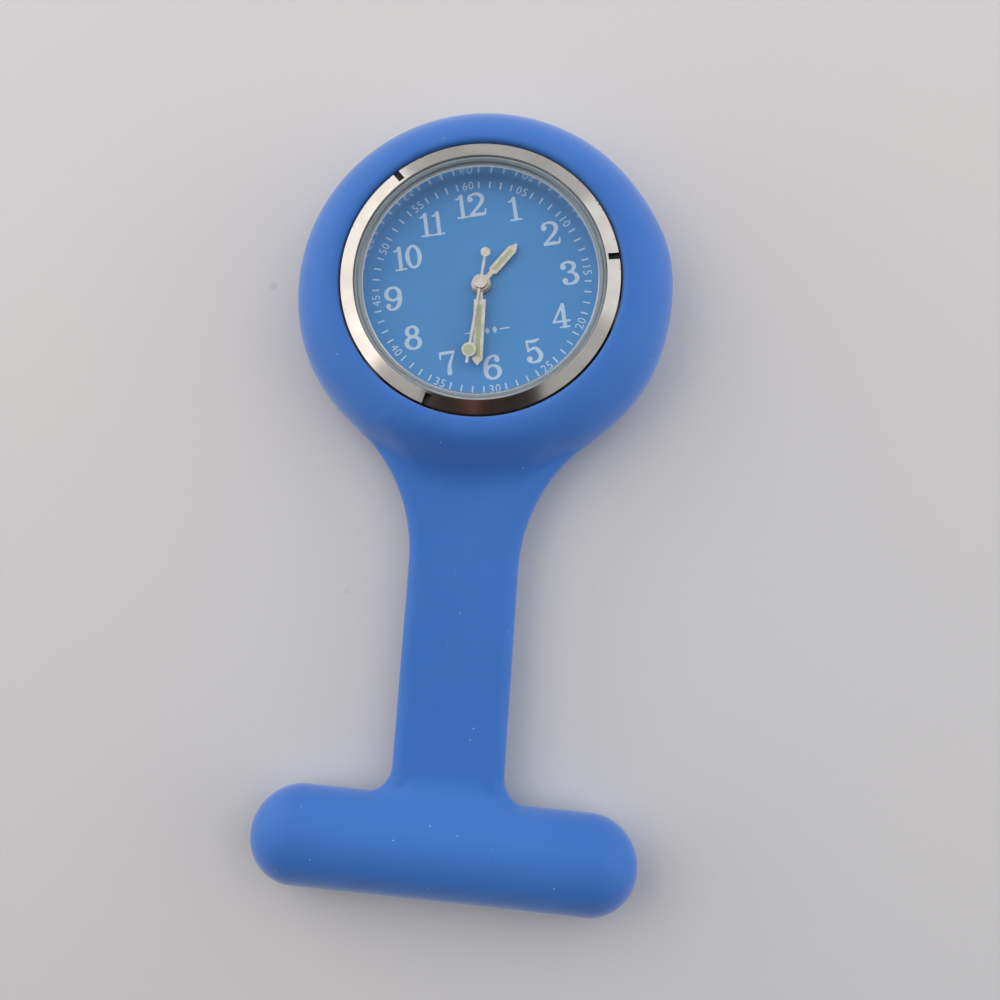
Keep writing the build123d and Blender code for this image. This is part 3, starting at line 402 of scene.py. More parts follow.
def striped_finish():
    """Rhodium-plated movement plate with broad decorative stripes."""
    f = Finish("striped_plate")
    x, y, _ = f.across()
    slant = (x * 0.8 + y * 0.6) * 4.2
    stripe = slant.sine()
    fine = f.grain(3.0, 3.0, stretch=(0.6, 6.0, 1.0))
    metal = f.blend(stripe.between(-0.4, 0.4), tint(188, 188, 186), tint(214, 213, 208))
    return f.show(Base_Color=metal, Metallic=1.0, Roughness=0.2 + stripe.between(-1, 1) * 0.12 + fine * 0.06,
                  Normal=f.bump(fine * 0.5 + stripe * 0.25, 0.01, 0.5))


def floor_finish():
    """Pale matte board on which the watch lies, with a fine paper grain."""
    f = Finish("pale_board")
    cloud = f.grain(0.008, 2.0)
    tooth = f.grain(1.6, 4.0)
    fleck = f.specks(0.07, 0.05, 0.25)
    board = f.blend(cloud.between(0.3, 0.7), tint(216, 213, 211), tint(213, 212, 213))
    board = f.blend(tooth.between(0.5, 0.8) * 0.12, board, tint(205, 203, 203))
    board = f.blend(fleck * 0.25, board, tint(170, 162, 150))
    return f.show(Base_Color=board, Roughness=0.85, Normal=f.bump(tooth, 0.05, 0.35), Specular_IOR_Level=0.2)


STEEL, SOFT_STEEL = tint(212, 211, 208), tint(188, 186, 183)
FINISHES = {
    "case_steel": steel_finish("case_steel", STEEL, SOFT_STEEL, 0.24, turned=True, depth=0.008),
    "polished_steel": steel_finish("polished_steel", tint(205, 206, 206), tint(190, 190, 189), 0.08, 0.2),
    "mirror_ring": steel_finish("mirror_ring", tint(232, 238, 242), tint(224, 230, 235), 0.14, 0.1,
                                turned=True, depth=0.002),
    "bezel": bezel_finish(),
    "pin_steel": steel_finish("pin_steel", tint(206, 207, 210), tint(176, 178, 182), 0.2, 0.5),
    "pin_brass": brass_finish("plated_brass", tint(214, 206, 182), tint(188, 176, 146), 0.22),
    "movement_brass": brass_finish("movement_brass", tint(222, 184, 112), tint(190, 146, 82)),
    "movement_steel": steel_finish("movement_steel", tint(200, 201, 205), tint(160, 163, 170), 0.26, 0.5),
    "striped": striped_finish(),
    "battery_steel": steel_finish("battery_can", tint(216, 214, 208), tint(190, 188, 182), 0.18, 0.6,
                                  depth=0.01),
    "magnet": steel_finish("sintered_magnet", tint(92, 92, 96), tint(58, 58, 62), 0.42, 0.3, depth=0.03),
    "gasket_rubber": plastic_finish("gasket_rubber", tint(34, 34, 36), tint(46, 46, 48), 0.62, 0.02),
    "gasket_plastic": plastic_finish("gasket_plastic", tint(168, 176, 180), tint(150, 158, 164), 0.35, 0.01),
    "holder_plastic": plastic_finish("holder_plastic", tint(222, 220, 210), tint(208, 205, 194), 0.45, 0.02),
    "chip_resin": plastic_finish("chip_resin", tint(26, 26, 28), tint(40, 40, 42), 0.4, 0.03),
    "board_green": board_finish(),
    "copper_wire": copper_finish(),
    "crystal_glass": crystal_finish(),
    "dial_paint": dial_finish(),
    "ink": ink_finish(),
    "hand_metal": hand_finish(),
    "lume": lume_finish(),
    "silicone": silicone_finish(),
}
NODE_FINISHES = {
    "silicone": "silicone_holder",
    "pin_steel": "pin_plate pin_rivet pin_needle",
    "pin_brass": "pin_catch",
    "case_steel": "case_body case_back crown_tube",
    "bezel": "bezel",
    "polished_steel": "crown",
    "mirror_ring": "dial_ring",
    "gasket_rubber": "crown_gasket case_back_gasket",
    "crystal_glass": "crystal",
    "gasket_plastic": "crystal_gasket",
    "dial_paint": "dial",
    "holder_plastic": "movement_holder",
    "movement_brass": "main_plate battery_contact centre_wheel third_wheel fourth_wheel step_wheel "
                      "minute_wheel setting_wheel hour_wheel",
    "striped": "train_bridge",
    "movement_steel": "movement_screws quartz_can coil_core stator battery_clamp rotor_pinion winding_stem "
                      "sliding_pinion setting_lever yoke",
    "board_green": "circuit_board",
    "chip_resin": "timing_chip",
    "copper_wire": "coil_winding",
    "battery_steel": "battery",
    "magnet": "rotor_magnet",
    "hand_metal": "hour_hand minute_hand second_hand",
    "lume": "hour_lume minute_lume second_lume",
}


def dress_nodes():
    """Gives every CAD node its finish."""
    dressed = set()
    for finish, names in NODE_FINISHES.items():
        for name in names.split():
            node = NODES[name]
            node.data.materials.clear()
            node.data.materials.append(FINISHES[finish])
            dressed.add(name)
    bare = set(NODES) - dressed
    if bare:
        raise ValueError(f"no finish for {sorted(bare)}")


# ================================================================ the silicone skin
def arc(cx, cy, rx, ry, start, end, fullness=2.0, count=14):
    """Points on an ellipse from one angle to another, in degrees. A lower fullness flattens it."""
    points = []
    for a in np.radians(np.linspace(start, end, count)):
        c, s = math.cos(a), math.sin(a)
        points.append((cx + rx * math.copysign(abs(c) ** (2 / fullness), c),
                       cy + ry * math.copysign(abs(s) ** (2 / fullness), s)))
    return points


def distance_to(outline, x, y):
    """Signed distance from a closed outline, less than 0 inside it."""
    corners = np.array(outline)
    best = np.full(x.shape, 1e9)
    inside = np.zeros(x.shape, bool)
    for (ax, ay), (bx, by) in zip(corners, np.roll(corners, -1, axis=0)):
        dx, dy = bx - ax, by - ay
        length = dx * dx + dy * dy
        if length < 1e-12:
            continue
        t = np.clip(((x - ax) * dx + (y - ay) * dy) / length, 0, 1)
        best = np.minimum(best, (x - ax - t * dx) ** 2 + (y - ay - t * dy) ** 2)
        if ay != by:
            inside ^= ((ay > y) != (by > y)) & (x < ax + (y - ay) / (by - ay) * dx)
    return np.where(inside, -1, 1) * np.sqrt(best)


class Chart:
    """Signed distance from an outline, worked out once on a fine grid and read off it."""

    def __init__(self, outline, low, high, step=0.1):
        self.low, self.step = low, step
        across = np.arange(low[0], high[0] + step, step)
        up = np.arange(low[1], high[1] + step, step)
        x, y = np.meshgrid(across, up, indexing="ij")
        self.values = distance_to(outline, x, y)

    def read(self, x, y):
        nx, ny = self.values.shape
        u = np.clip((x - self.low[0]) / self.step, 0, nx - 1.001)
        v = np.clip((y - self.low[1]) / self.step, 0, ny - 1.001)
        i, j = u.astype(int), v.astype(int)
        u, v = u - i, v - j
        t = self.values
        return (t[i, j] * (1 - u) * (1 - v) + t[i + 1, j] * u * (1 - v)
                + t[i, j + 1] * (1 - u) * v + t[i + 1, j + 1] * u * v)


def ease(value, start, end):
    """0 at start, 1 at end, smooth in between."""
    t = np.clip((value - start) / (end - start), 0, 1)
    return t * t * (3 - 2 * t)


def merge(a, b, k):
    """Union of two solids with a soft fillet between them."""
    h = np.maximum(k - abs(a - b), 0) / k
    return np.minimum(a, b) - h * h * k / 4


def carve(a, b, k):
    """Solid a with solid b cut away, the rim slightly rounded."""
    return -merge(-a, b, k)


def slab(plan, rise, rounding):
    """A plate from its plan distance and its distance above or below, with rounded edges."""
    p, q = plan + rounding, rise + rounding
    return np.minimum(np.maximum(p, q), 0) + np.hypot(np.maximum(p, 0), np.maximum(q, 0)) - rounding


def ring_outline(fullness):
    """Half the ring's cross-section, filled to its axis: radius and height."""
    return ([(INSIDE, 0.0)]
            + arc(RING_EDGE - RING_FOOT, RING_EDGE_Z, RING_FOOT, RING_EDGE_Z, -90, 0)
            + arc(CREST, RING_EDGE_Z, RING_EDGE - CREST, CREST_Z - RING_EDGE_Z, 0, 90, fullness, 40)
            + [(INSIDE, CREST_Z)])


def hollow_outline():
    """The room for the watch head: back opening, flange groove, bore and flared mouth."""
    below, above = -3.0, 14.0
    mouth = [(BORE, MOUTH_Z), (BORE + 0.4 * MOUTH_FLARE, MOUTH_Z + 0.4), (BORE + MOUTH_FLARE, MOUTH_Z + 1.5)]
    return ([(INSIDE, below), (OPENING, below), (OPENING, GROOVE_LOW), (GROOVE, GROOVE_LOW),
             (GROOVE, GROOVE_HIGH), (BORE, GROOVE_HIGH)]
            + mouth + [(BORE + MOUTH_FLARE, above), (INSIDE, above)])


def neck_outline():
    """Plan of the neck: it springs from the ring in two wide flares and runs into the bar."""
    flare_x = NECK_HALF + FLARE
    flare_y = -math.sqrt((ROOT_CIRCLE + FLARE) ** 2 - flare_x ** 2)
    root = math.degrees(math.atan2(-flare_y, -flare_x))
    right = arc(flare_x, flare_y, FLARE, FLARE, root, 180, count=40)
    fillet_x = NECK_HALF + BAR_FILLET
    half = []
    for side in (1, -1):
        edge_y = BAR_Y + BAR_HALF_WIDTH - BAR_INSET + side * fillet_x * math.tan(BAR_SKEW)
        corner = arc(fillet_x, edge_y + BAR_FILLET, BAR_FILLET, BAR_FILLET, 180, 270)
        half.append([(9.0, -11.0)] + right + corner + [(fillet_x, BAR_Y)])
    return half[0] + [(-x, y) for x, y in reversed(half[1])]


def bar_outline():
    """The bar's cross-section: flat foot, low sides, round crown."""
    side_z = BAR_HIGH - BAR_HALF_WIDTH
    foot = BAR_HALF_WIDTH - BAR_FOOT
    right = (arc(foot, side_z, BAR_FOOT, side_z, -90, 0)
             + arc(0, side_z, BAR_HALF_WIDTH, BAR_HALF_WIDTH, 0, 90, count=30))
    return right + [(-x, z) for x, z in reversed(right)]


def silicone_solid():
    """How far a point is from the holder's surface, less than 0 inside the silicone."""
    ring = Chart(ring_outline(RING_FULLNESS), (0.0, -2.0), (32.0, 12.0))
    brow = Chart(ring_outline(BROW_FULLNESS), (0.0, -2.0), (32.0, 12.0))
    hollow = Chart(hollow_outline(), (0.0, -2.0), (32.0, 12.0), 0.05)
    neck = Chart(neck_outline(), (-24.0, -70.0), (24.0, 24.0), 0.2)
    bar = Chart(bar_outline(), (-12.0, -2.0), (12.0, 12.0), 0.05)
    reach, half_height, half_angle = CROWN_ROOM
    skew_c, skew_s = math.cos(BAR_SKEW), math.sin(BAR_SKEW)

    def rounded_box(u, v, z, room):
        half_length, half_width, low, high, corner = room
        du, dv = abs(u) - half_length + corner, abs(v) - half_width + corner
        plan = np.hypot(np.maximum(du, 0), np.maximum(dv, 0)) + np.minimum(np.maximum(du, dv), 0) - corner
        return np.maximum(plan, np.maximum(low - z, z - high))

    def field(x, y, z):
        r = np.hypot(x, y)
        bearing = np.arctan2(y, x)
        from_neck = abs(np.arctan2(x, -y))
        towards_neck = 1 - ease(from_neck, *np.radians(BROW_SPAN))
        near_root = 1 - ease(from_neck, *np.radians(SHOULDER_SPAN))
        over_crown = np.exp(-((bearing - CROWN_BEARING) / CROWN_SPREAD) ** 2)
        outward = np.clip((r - CREST) / (RING_EDGE - CREST), 0, 1)
        shape_r = (r + np.maximum(r - CREST, 0) * BROW_STEEPNESS * towards_neck
                   + (SHOULDER_SLIMMING * near_root - CROWN_SWELLING * over_crown) * outward)
        body = ring.read(shape_r, z) * (1 - towards_neck) + brow.read(shape_r, z) * towards_neck
        plan = neck.read(x, y)
        middle = ease(-plan, 0.0, 3.2)
        strap = slab(plan, abs(z - (NECK_LOW + NECK_HIGH) / 2) - (NECK_HIGH - NECK_LOW) / 2, NECK_EDGE)
        body = merge(body, strap, EDGE_BLEND + ROOT_BLEND * middle)
        u = x * skew_c + (y - BAR_Y) * skew_s
        v = -x * skew_s + (y - BAR_Y) * skew_c
        beyond = np.maximum(abs(u) - (BAR_HALF_LENGTH - BAR_HALF_WIDTH), 0)
        body = merge(body, bar.read(np.hypot(beyond, v), z), EDGE_BLEND + BAR_BLEND * middle)
        body = carve(body, hollow.read(r, z), 0.3)
        crown_room = np.maximum(np.maximum(r - reach, abs(z - STEM_Z) - half_height),
                                (abs(bearing) - half_angle) * r)
        body = carve(body, crown_room, 0.2)
        pocket = np.minimum(rounded_box(u, v, z, SEAT_ROOM), rounded_box(u, v, z, MOUTH_ROOM))
        return carve(body, pocket, 0.25)

    return field


def net(field, low, high, step):
    """A closed skin of quads where the field is nothing: one point in each cell that the surface crosses."""
    axes = [np.arange(a, b + step, step) for a, b in zip(low, high)]
    grid = np.meshgrid(*axes, indexing="ij")
    value = field(*grid)
    shape = value.shape
    cells = tuple(n - 1 for n in shape)
    total, count = np.zeros(cells + (3,)), np.zeros(cells)
    crossings = []
    for axis in range(3):
        first, second = [slice(None)] * 3, [slice(None)] * 3
        first[axis], second[axis] = slice(0, -1), slice(1, None)
        a, b = value[tuple(first)], value[tuple(second)]
        crossed = (a < 0) != (b < 0)
        share = np.where(crossed, a / np.where(crossed, a - b, 1), 0)
        place = np.stack([g[tuple(first)] for g in grid], axis=-1)
        place[..., axis] += share * step
        others = [o for o in range(3) if o != axis]
        for i in (0, 1):
            for j in (0, 1):
                pick = [slice(None)] * 3
                pick[others[0]] = slice(i, shape[others[0]] - 1 + i)
                pick[others[1]] = slice(j, shape[others[1]] - 1 + j)
                mark = crossed[tuple(pick)]
                count += mark
                total += place[tuple(pick)] * mark[..., None]
        crossings.append((axis, others, crossed, a < 0))
    live = count > 0
    number = np.full(cells, -1)
    number[live] = np.arange(live.sum())
    points = total[live] / count[live][:, None]
    quads = []
    for axis, others, crossed, starts_inside in crossings:
        where = np.argwhere(crossed)
        inner = np.all([(where[:, o] > 0) & (where[:, o] < shape[o] - 1) for o in others], axis=0)
        where = where[inner]

        def cell(i, j):
            at = where.copy()
            at[:, others[0]] -= i
            at[:, others[1]] -= j
            return number[tuple(at.T)]

        quad = np.stack([cell(1, 1), cell(0, 1), cell(0, 0), cell(1, 0)], axis=1)
        turn = starts_inside[tuple(where.T)] != (axis != 1)
        quad[turn] = quad[turn][:, ::-1]
        quads.append(quad)
    return points, np.concatenate(quads)


def settle(field, points, most, rounds=4):
    """Pulls points on to the surface along its slope, no further than most in a round."""
    h = 0.02
    for _ in range(rounds):
        value = field(*points.T)
        slope = np.stack([(field(*(points + d).T) - field(*(points - d).T)) / (2 * h)
                          for d in np.eye(3) * h], axis=1)
        move = value[:, None] * slope / np.maximum((slope ** 2).sum(1), 0.05)[:, None]
        length = np.linalg.norm(move, axis=1, keepdims=True)
        points = points - move * np.minimum(1, most / np.maximum(length, 1e-9))
    return points


def relax(points, quads):
    """Evens out the net by moving each point half way to the middle of its neighbours."""
    total, count = np.zeros_like(points), np.zeros(len(points))
    for a, b in ((0, 1), (1, 2), (2, 3), (3, 0)):
        for i, j in ((a, b), (b, a)):
            for axis in range(3):
                total[:, axis] += np.bincount(quads[:, i], points[quads[:, j], axis], len(points))
            count += np.bincount(quads[:, i], minlength=len(points))
    return points + 0.5 * (total / count[:, None] - points)


def linked(name, data):
    """A new object at the origin, in the scene."""
    piece = bpy.data.objects.new(name, data)
    bpy.context.scene.collection.objects.link(piece)
    return piece


def mesh_piece(name, points, faces, material, smooth=True):
    """An object at the origin with its place in its mesh. Points are in millimetres."""
    mesh = bpy.data.meshes.new(name)
    mesh.from_pydata((np.asarray(points) * MM).tolist(), [], np.asarray(faces).tolist())
    mesh.update()
    if smooth:
        mesh.shade_smooth()
    mesh.materials.append(material)
    return linked(name, mesh)


def make_silicone():
    """The one-piece holder: crowned ring, flared neck and pin bar in one seamless skin."""
    step = NET_STEP
    field = silicone_solid()
    points, quads = net(field, (-22.6, -67.4, -1.0), (22.6, 22.6, 10.2), step)
    points = settle(field, points, step / 2)
    for _ in range(2):
        points = settle(field, relax(points, quads), step / 3, 2)
    points[:, 2] = np.maximum(points[:, 2], 0)
    piece = mesh_piece("silicone_skin", points, quads, FINISHES["silicone"])
    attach(piece, "holder")
    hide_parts("silicone_holder")


# ================================================================ dial print
# Each numeral is one unit high: its width, then its strokes. A stroke is a curve through knots of
# x,y,radius. A loop is an ellipse: centre, half width, half height, radius at its sides and at its top.
BALL = 0.112                        # radius of the balls that end a stroke
NUMERALS = {
    "0": (0.63, ["loop 0 0.5 0.245 0.445 0.085 0.052"]),
    "1": (0.5, ["-0.19,0.82,.034 -0.1,0.84,.04 0.0,0.93,.05", "0.02,0.93,.076 0.02,0.05,.074",
                "-0.19,0.035,.035 0.23,0.035,.035"]),
    "2": (0.73, [f"-0.24,0.74,{BALL} -0.24,0.74,{BALL}",
                 "-0.32,0.74,.03 -0.27,0.87,.046 -0.04,0.948,.052 0.17,0.88,.07 0.245,0.71,.084 "
                 "0.15,0.5,.074 -0.08,0.27,.056 -0.29,0.08,.048",
                 "-0.29,0.062,.056 0.0,0.07,.07 0.26,0.062,.06", "0.29,0.07,.042 0.33,0.26,.028"]),
    "3": (0.72, [f"-0.23,0.76,{BALL} -0.23,0.76,{BALL}", f"-0.22,0.2,{BALL} -0.22,0.2,{BALL}",
                 "-0.32,0.76,.03 -0.26,0.88,.046 -0.04,0.948,.052 0.16,0.87,.074 0.195,0.735,.08 "
                 "0.12,0.595,.06 -0.05,0.53,.042",
                 "-0.05,0.53,.042 0.15,0.485,.06 0.26,0.285,.09 0.18,0.11,.074 -0.03,0.05,.05 "
                 "-0.23,0.09,.044 -0.31,0.2,.03"]),
    "4": (0.72, ["0.11,0.94,.052 -0.3,0.28,.046", "-0.31,0.27,.045 0.33,0.27,.045",
                 "0.12,0.93,.078 0.12,0.05,.076", "-0.06,0.035,.035 0.3,0.035,.035"]),
    "5": (0.7, ["-0.24,0.92,.04 -0.22,0.53,.042", "-0.22,0.915,.052 0.03,0.89,.066 0.23,0.95,.036",
                f"-0.2,0.2,{BALL} -0.2,0.2,{BALL}",
                "-0.22,0.52,.042 -0.06,0.6,.048 0.11,0.575,.068 0.25,0.33,.092 0.17,0.11,.076 -0.03,0.05,.05 "
                "-0.21,0.09,.044 -0.29,0.2,.03"]),
    "6": (0.72, [f"0.22,0.79,{BALL * .92:.3f} 0.22,0.79,{BALL * .92:.3f}",
                 "0.29,0.8,.03 0.22,0.91,.042 0.06,0.95,.048 -0.12,0.87,.07 -0.245,0.64,.084 -0.27,0.36,.086",
                 "loop 0 0.31 0.265 0.26 0.086 0.05"]),
    "7": (0.68, ["-0.26,0.915,.064 0.26,0.925,.058", "-0.28,0.93,.034 -0.285,0.7,.038",
                 "0.28,0.94,.034 0.16,0.68,.05 0.05,0.4,.07 0.02,0.1,.094"]),
    "8": (0.72, ["loop 0 0.748 0.205 0.2 0.08 0.048", "loop 0 0.287 0.262 0.237 0.086 0.05"]),
}


def numeral_discs(sign):
    """The discs whose union is a numeral one unit high, and its width."""
    if sign == "9":
        width, discs = numeral_discs("6")
        return width, np.column_stack([-discs[:, 0], 1 - discs[:, 1], discs[:, 2]])
    width, strokes = NUMERALS[sign]
    discs = []
    for stroke in strokes:
        if stroke.startswith("loop"):
            cx, cy, rx, ry, thick, thin = map(float, stroke.split()[1:])
            a = np.linspace(0, 2 * math.pi, 160, endpoint=False)
            discs.append(np.column_stack([cx + rx * np.cos(a), cy + ry * np.sin(a),
                                          thin + (thick - thin) * np.cos(a) ** 2]))
            continue
        knots = np.array([[float(v) for v in knot.split(",")] for knot in stroke.split()])
        ends = np.vstack([2 * knots[0] - knots[1], knots, 2 * knots[-1] - knots[-2]])
        for a, b, c, d in zip(ends, ends[1:], ends[2:], ends[3:]):
            t = np.linspace(0, 1, 24)[:, None]
            discs.append(0.5 * (2 * b + (c - a) * t + (2 * a - 5 * b + 4 * c - d) * t ** 2
                                + (3 * b - a - 3 * c + d) * t ** 3))
    return width, np.vstack(discs)


def outline_of(discs, step):
    """Points and edges round the union of some discs: one point in each square that the outline crosses."""
    low = (discs[:, :2] - discs[:, 2:]).min(0) - 3 * step
    high = (discs[:, :2] + discs[:, 2:]).max(0) + 3 * step
    xs, ys = np.arange(low[0], high[0], step), np.arange(low[1], high[1], step)
    x, y = np.meshgrid(xs, ys, indexing="ij")
    value = np.full(x.shape, 1e9)
    for cx, cy, radius in discs:
        value = np.minimum(value, np.hypot(x - cx, y - cy) - radius)
    cells = tuple(n - 1 for n in value.shape)
    total, count = np.zeros(cells + (2,)), np.zeros(cells)
    links = []
    for axis in (0, 1):
        a, b = (value[:-1], value[1:]) if axis == 0 else (value[:, :-1], value[:, 1:])
        crossed = (a < 0) != (b < 0)
        share = np.where(crossed, a / np.where(crossed, a - b, 1), 0)
        place = np.stack([g[:-1] if axis == 0 else g[:, :-1] for g in (x, y)], axis=-1)
        place[..., axis] += share * step
        for i in (0, 1):
            pick = [slice(None), slice(None)]
            pick[1 - axis] = slice(i, cells[1 - axis] + i)
            pick = tuple(pick)
            count += crossed[pick]
            total += place[pick] * crossed[pick][..., None]
        links.append((axis, np.argwhere(crossed)))
    live = count > 0
    number = np.full(cells, -1)
    number[live] = np.arange(live.sum())
    points = total[live] / count[live][:, None]
    edges = []
    for axis, where in links:
        back = where.copy()
        back[:, 1 - axis] -= 1
        edges.append(np.column_stack([number[tuple(back.T)], number[tuple(where.T)]]))
    return points, np.vstack(edges)


def printed(discs, step=0.016):
    """A flat printed shape as a thin closed solid, in the shape's own units with z from 0 to 1."""
    points, edges = outline_of(discs, step)
    places, _, faces, *_ = delaunay_2d_cdt([Vector(p) for p in points], edges.tolist(), [], 0, 1e-7)
    middles = np.array([sum((places[i] for i in face), Vector((0, 0))) / len(face) for face in faces])
    gap = np.full(len(middles), 1e9)
    for cx, cy, radius in discs:
        gap = np.minimum(gap, np.hypot(middles[:, 0] - cx, middles[:, 1] - cy) - radius)
    flat = [face for face, away in zip(faces, gap) if away < 0]
    used = sorted({i for face in flat for i in face})
    number = {i: n for n, i in enumerate(used)}
    flat = [[number[i] for i in face] for face in flat]
    sides = {(a, b) for face in flat for a, b in zip(face, face[1:] + face[:1])}
    lift = len(used)
    walls = [(a, b, b + lift, a + lift) for a, b in sorted(sides) if (b, a) not in sides]
    made = bpy.data.meshes.new("shape")
    made.from_pydata([(*places[i], z) for z in (0, 1) for i in used], [],
                     [face[::-1] for face in flat] + [[i + lift for i in face] for face in flat] + walls)
    return made


def stamp(sheet, mesh, x, y, turn, width, height):
    """Adds a printed shape to a sheet at a place on the dial, scaled and turned about that place."""
    place = (Matrix.Rotation(HEAD_TURN, 4, "Z") @ Matrix.Translation((x, y, DIAL_TOP))
             @ Matrix.Rotation(turn, 4, "Z") @ Matrix.Diagonal((width, height, INK, 1)))
    copy = mesh.copy()
    copy.transform(Matrix.Scale(MM, 4) @ place)
    sheet.from_mesh(copy)
    bpy.data.meshes.remove(copy)


def print_on_dial(name, mesh):
    """Makes a mesh one piece of the dial's print, which turns with the watch head."""
    piece = linked(name, mesh)
    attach(piece, "head")


def print_sheet(name, sheet):
    """Prints the shapes gathered on a sheet."""
    mesh = bpy.data.meshes.new(name)
    sheet.to_mesh(mesh)
    sheet.free()
    mesh.materials.append(FINISHES["ink"])
    print_on_dial(name, mesh)


def clock_place(minute, radius):
    """Where a minute stands on the dial, in the dial's own frame, and the angle of its outward direction."""
    a = math.pi / 2 - math.radians(minute * 6)
    return radius * math.cos(a), radius * math.sin(a), a


def make_hour_numerals():
    """Upright hour numerals with ball ends and slab serifs."""
    widths, shapes = {}, {}
    for sign in "0123456789":
        widths[sign], discs = numeral_discs(sign)
        shapes[sign] = printed(discs)
    sheet = bmesh.new()
    for hour in range(1, 13):
        x, y, _ = clock_place(hour * 5, HOUR_RADII[hour % 12])
        start = -sum(widths[sign] for sign in str(hour)) / 2
        for sign in str(hour):
            stamp(sheet, shapes[sign], x + (start + widths[sign] / 2) * HOUR_HEIGHT, y - HOUR_HEIGHT / 2, 0,
                  HOUR_HEIGHT, HOUR_HEIGHT)
            start += widths[sign]
    print_sheet("hour_numerals", sheet)


def plain_figures(text):
    """Small plain figures as a flat mesh one unit high, centred on the origin, z from 0 to 1."""
    curve = bpy.data.curves.new("figures", "FONT")
    curve.body, curve.size, curve.resolution_u = text, 1.0, 3
    curve.align_x, curve.extrude = "CENTER", 0.5
    curve.space_character = 1.08
    piece = linked("figures", curve)
    mesh = bpy.data.meshes.new_from_object(piece.evaluated_get(bpy.context.evaluated_depsgraph_get()))
    bpy.data.objects.remove(piece)
    bpy.data.curves.remove(curve)
    places = np.array([v.co for v in mesh.vertices])
    low, high = places.min(0), places.max(0)
    tall = high[1] - low[1]
    mesh.transform(Matrix.Diagonal((1 / tall, 1 / tall, 1, 1))
                   @ Matrix.Translation((-(low[0] + high[0]) / 2, -(low[1] + high[1]) / 2, 0.5)))
    return mesh


def make_minute_figures():
    """The small figures of the minute track: heads outwards in the upper half, feet in the lower."""
    sheet = bmesh.new()
    for minute in range(5, 65, 5):
        x, y, a = clock_place(minute, TRACK_RADIUS)
        feet_outwards = 20 <= minute <= 40
        turn = a + math.pi / 2 if feet_outwards else a - math.pi / 2
        stamp(sheet, plain_figures(f"{minute:02d}"), x, y, turn, TRACK_WIDTH, TRACK_HEIGHT)
    print_sheet("minute_figures", sheet)


def make_ornament():
    """Three small lozenges between two short rules, above the six."""
    drops = []
    for side in (-1, 1):
        drops += [(side * x, 0, RULE_HALF) for x in np.linspace(*RULE_ENDS, 60)]
    for middle in LOZENGES:
        for t in np.linspace(-1, 1, 41):
            for s in np.linspace(-1, 1, 41):
                if abs(t) + abs(s) <= 1:
                    drops.append((middle + LOZENGE_WIDTH * t, LOZENGE_HEIGHT * s, 0.03))
    sheet = bmesh.new()
    stamp(sheet, printed(np.array(drops), 0.03), 0.0, ORNAMENT_Y, 0, 1, 1)
    print_sheet("dial_ornament", sheet)


# ================================================================ what repeats, by geometry nodes
class Recipe(Nodes):
    """A geometry-node tree with named inputs, run once on an empty mesh and turned into a plain one."""

    def __init__(self, name, inputs):
        self.tree = bpy.data.node_groups.new(name, "GeometryNodeTree")
        self.tree.interface.new_socket("Geometry", in_out="OUTPUT", socket_type="NodeSocketGeometry")
        self.values = {}
        for label, (kind, value) in inputs.items():
            socket = self.tree.interface.new_socket(label, in_out="INPUT", socket_type="NodeSocket" + kind)
            self.values[socket.identifier] = value
        self.given = self.tree.nodes.new("NodeGroupInput")

    def input(self, label):
        return self.given.outputs[label]

    def run(self, shape):
        """Realises the instances, sets the finish and returns the plain mesh."""
        real = self.node("GeometryNodeRealizeInstances", {}, {"Geometry": shape})
        dressed = self.node("GeometryNodeSetMaterial", {},
                            {"Geometry": real.outputs[0], "Material": self.input("Finish")})
        self.node("NodeGroupOutput", {}, {0: dressed.outputs[0]})
        holder = linked("recipe", bpy.data.meshes.new("recipe"))
        modifier = holder.modifiers.new("recipe", "NODES")
        modifier.node_group = self.tree
        for identifier, value in self.values.items():
            modifier[identifier] = value
        mesh = bpy.data.meshes.new_from_object(holder.evaluated_get(bpy.context.evaluated_depsgraph_get()))
        holder.modifiers.remove(modifier)
        bpy.data.objects.remove(holder)
        return mesh


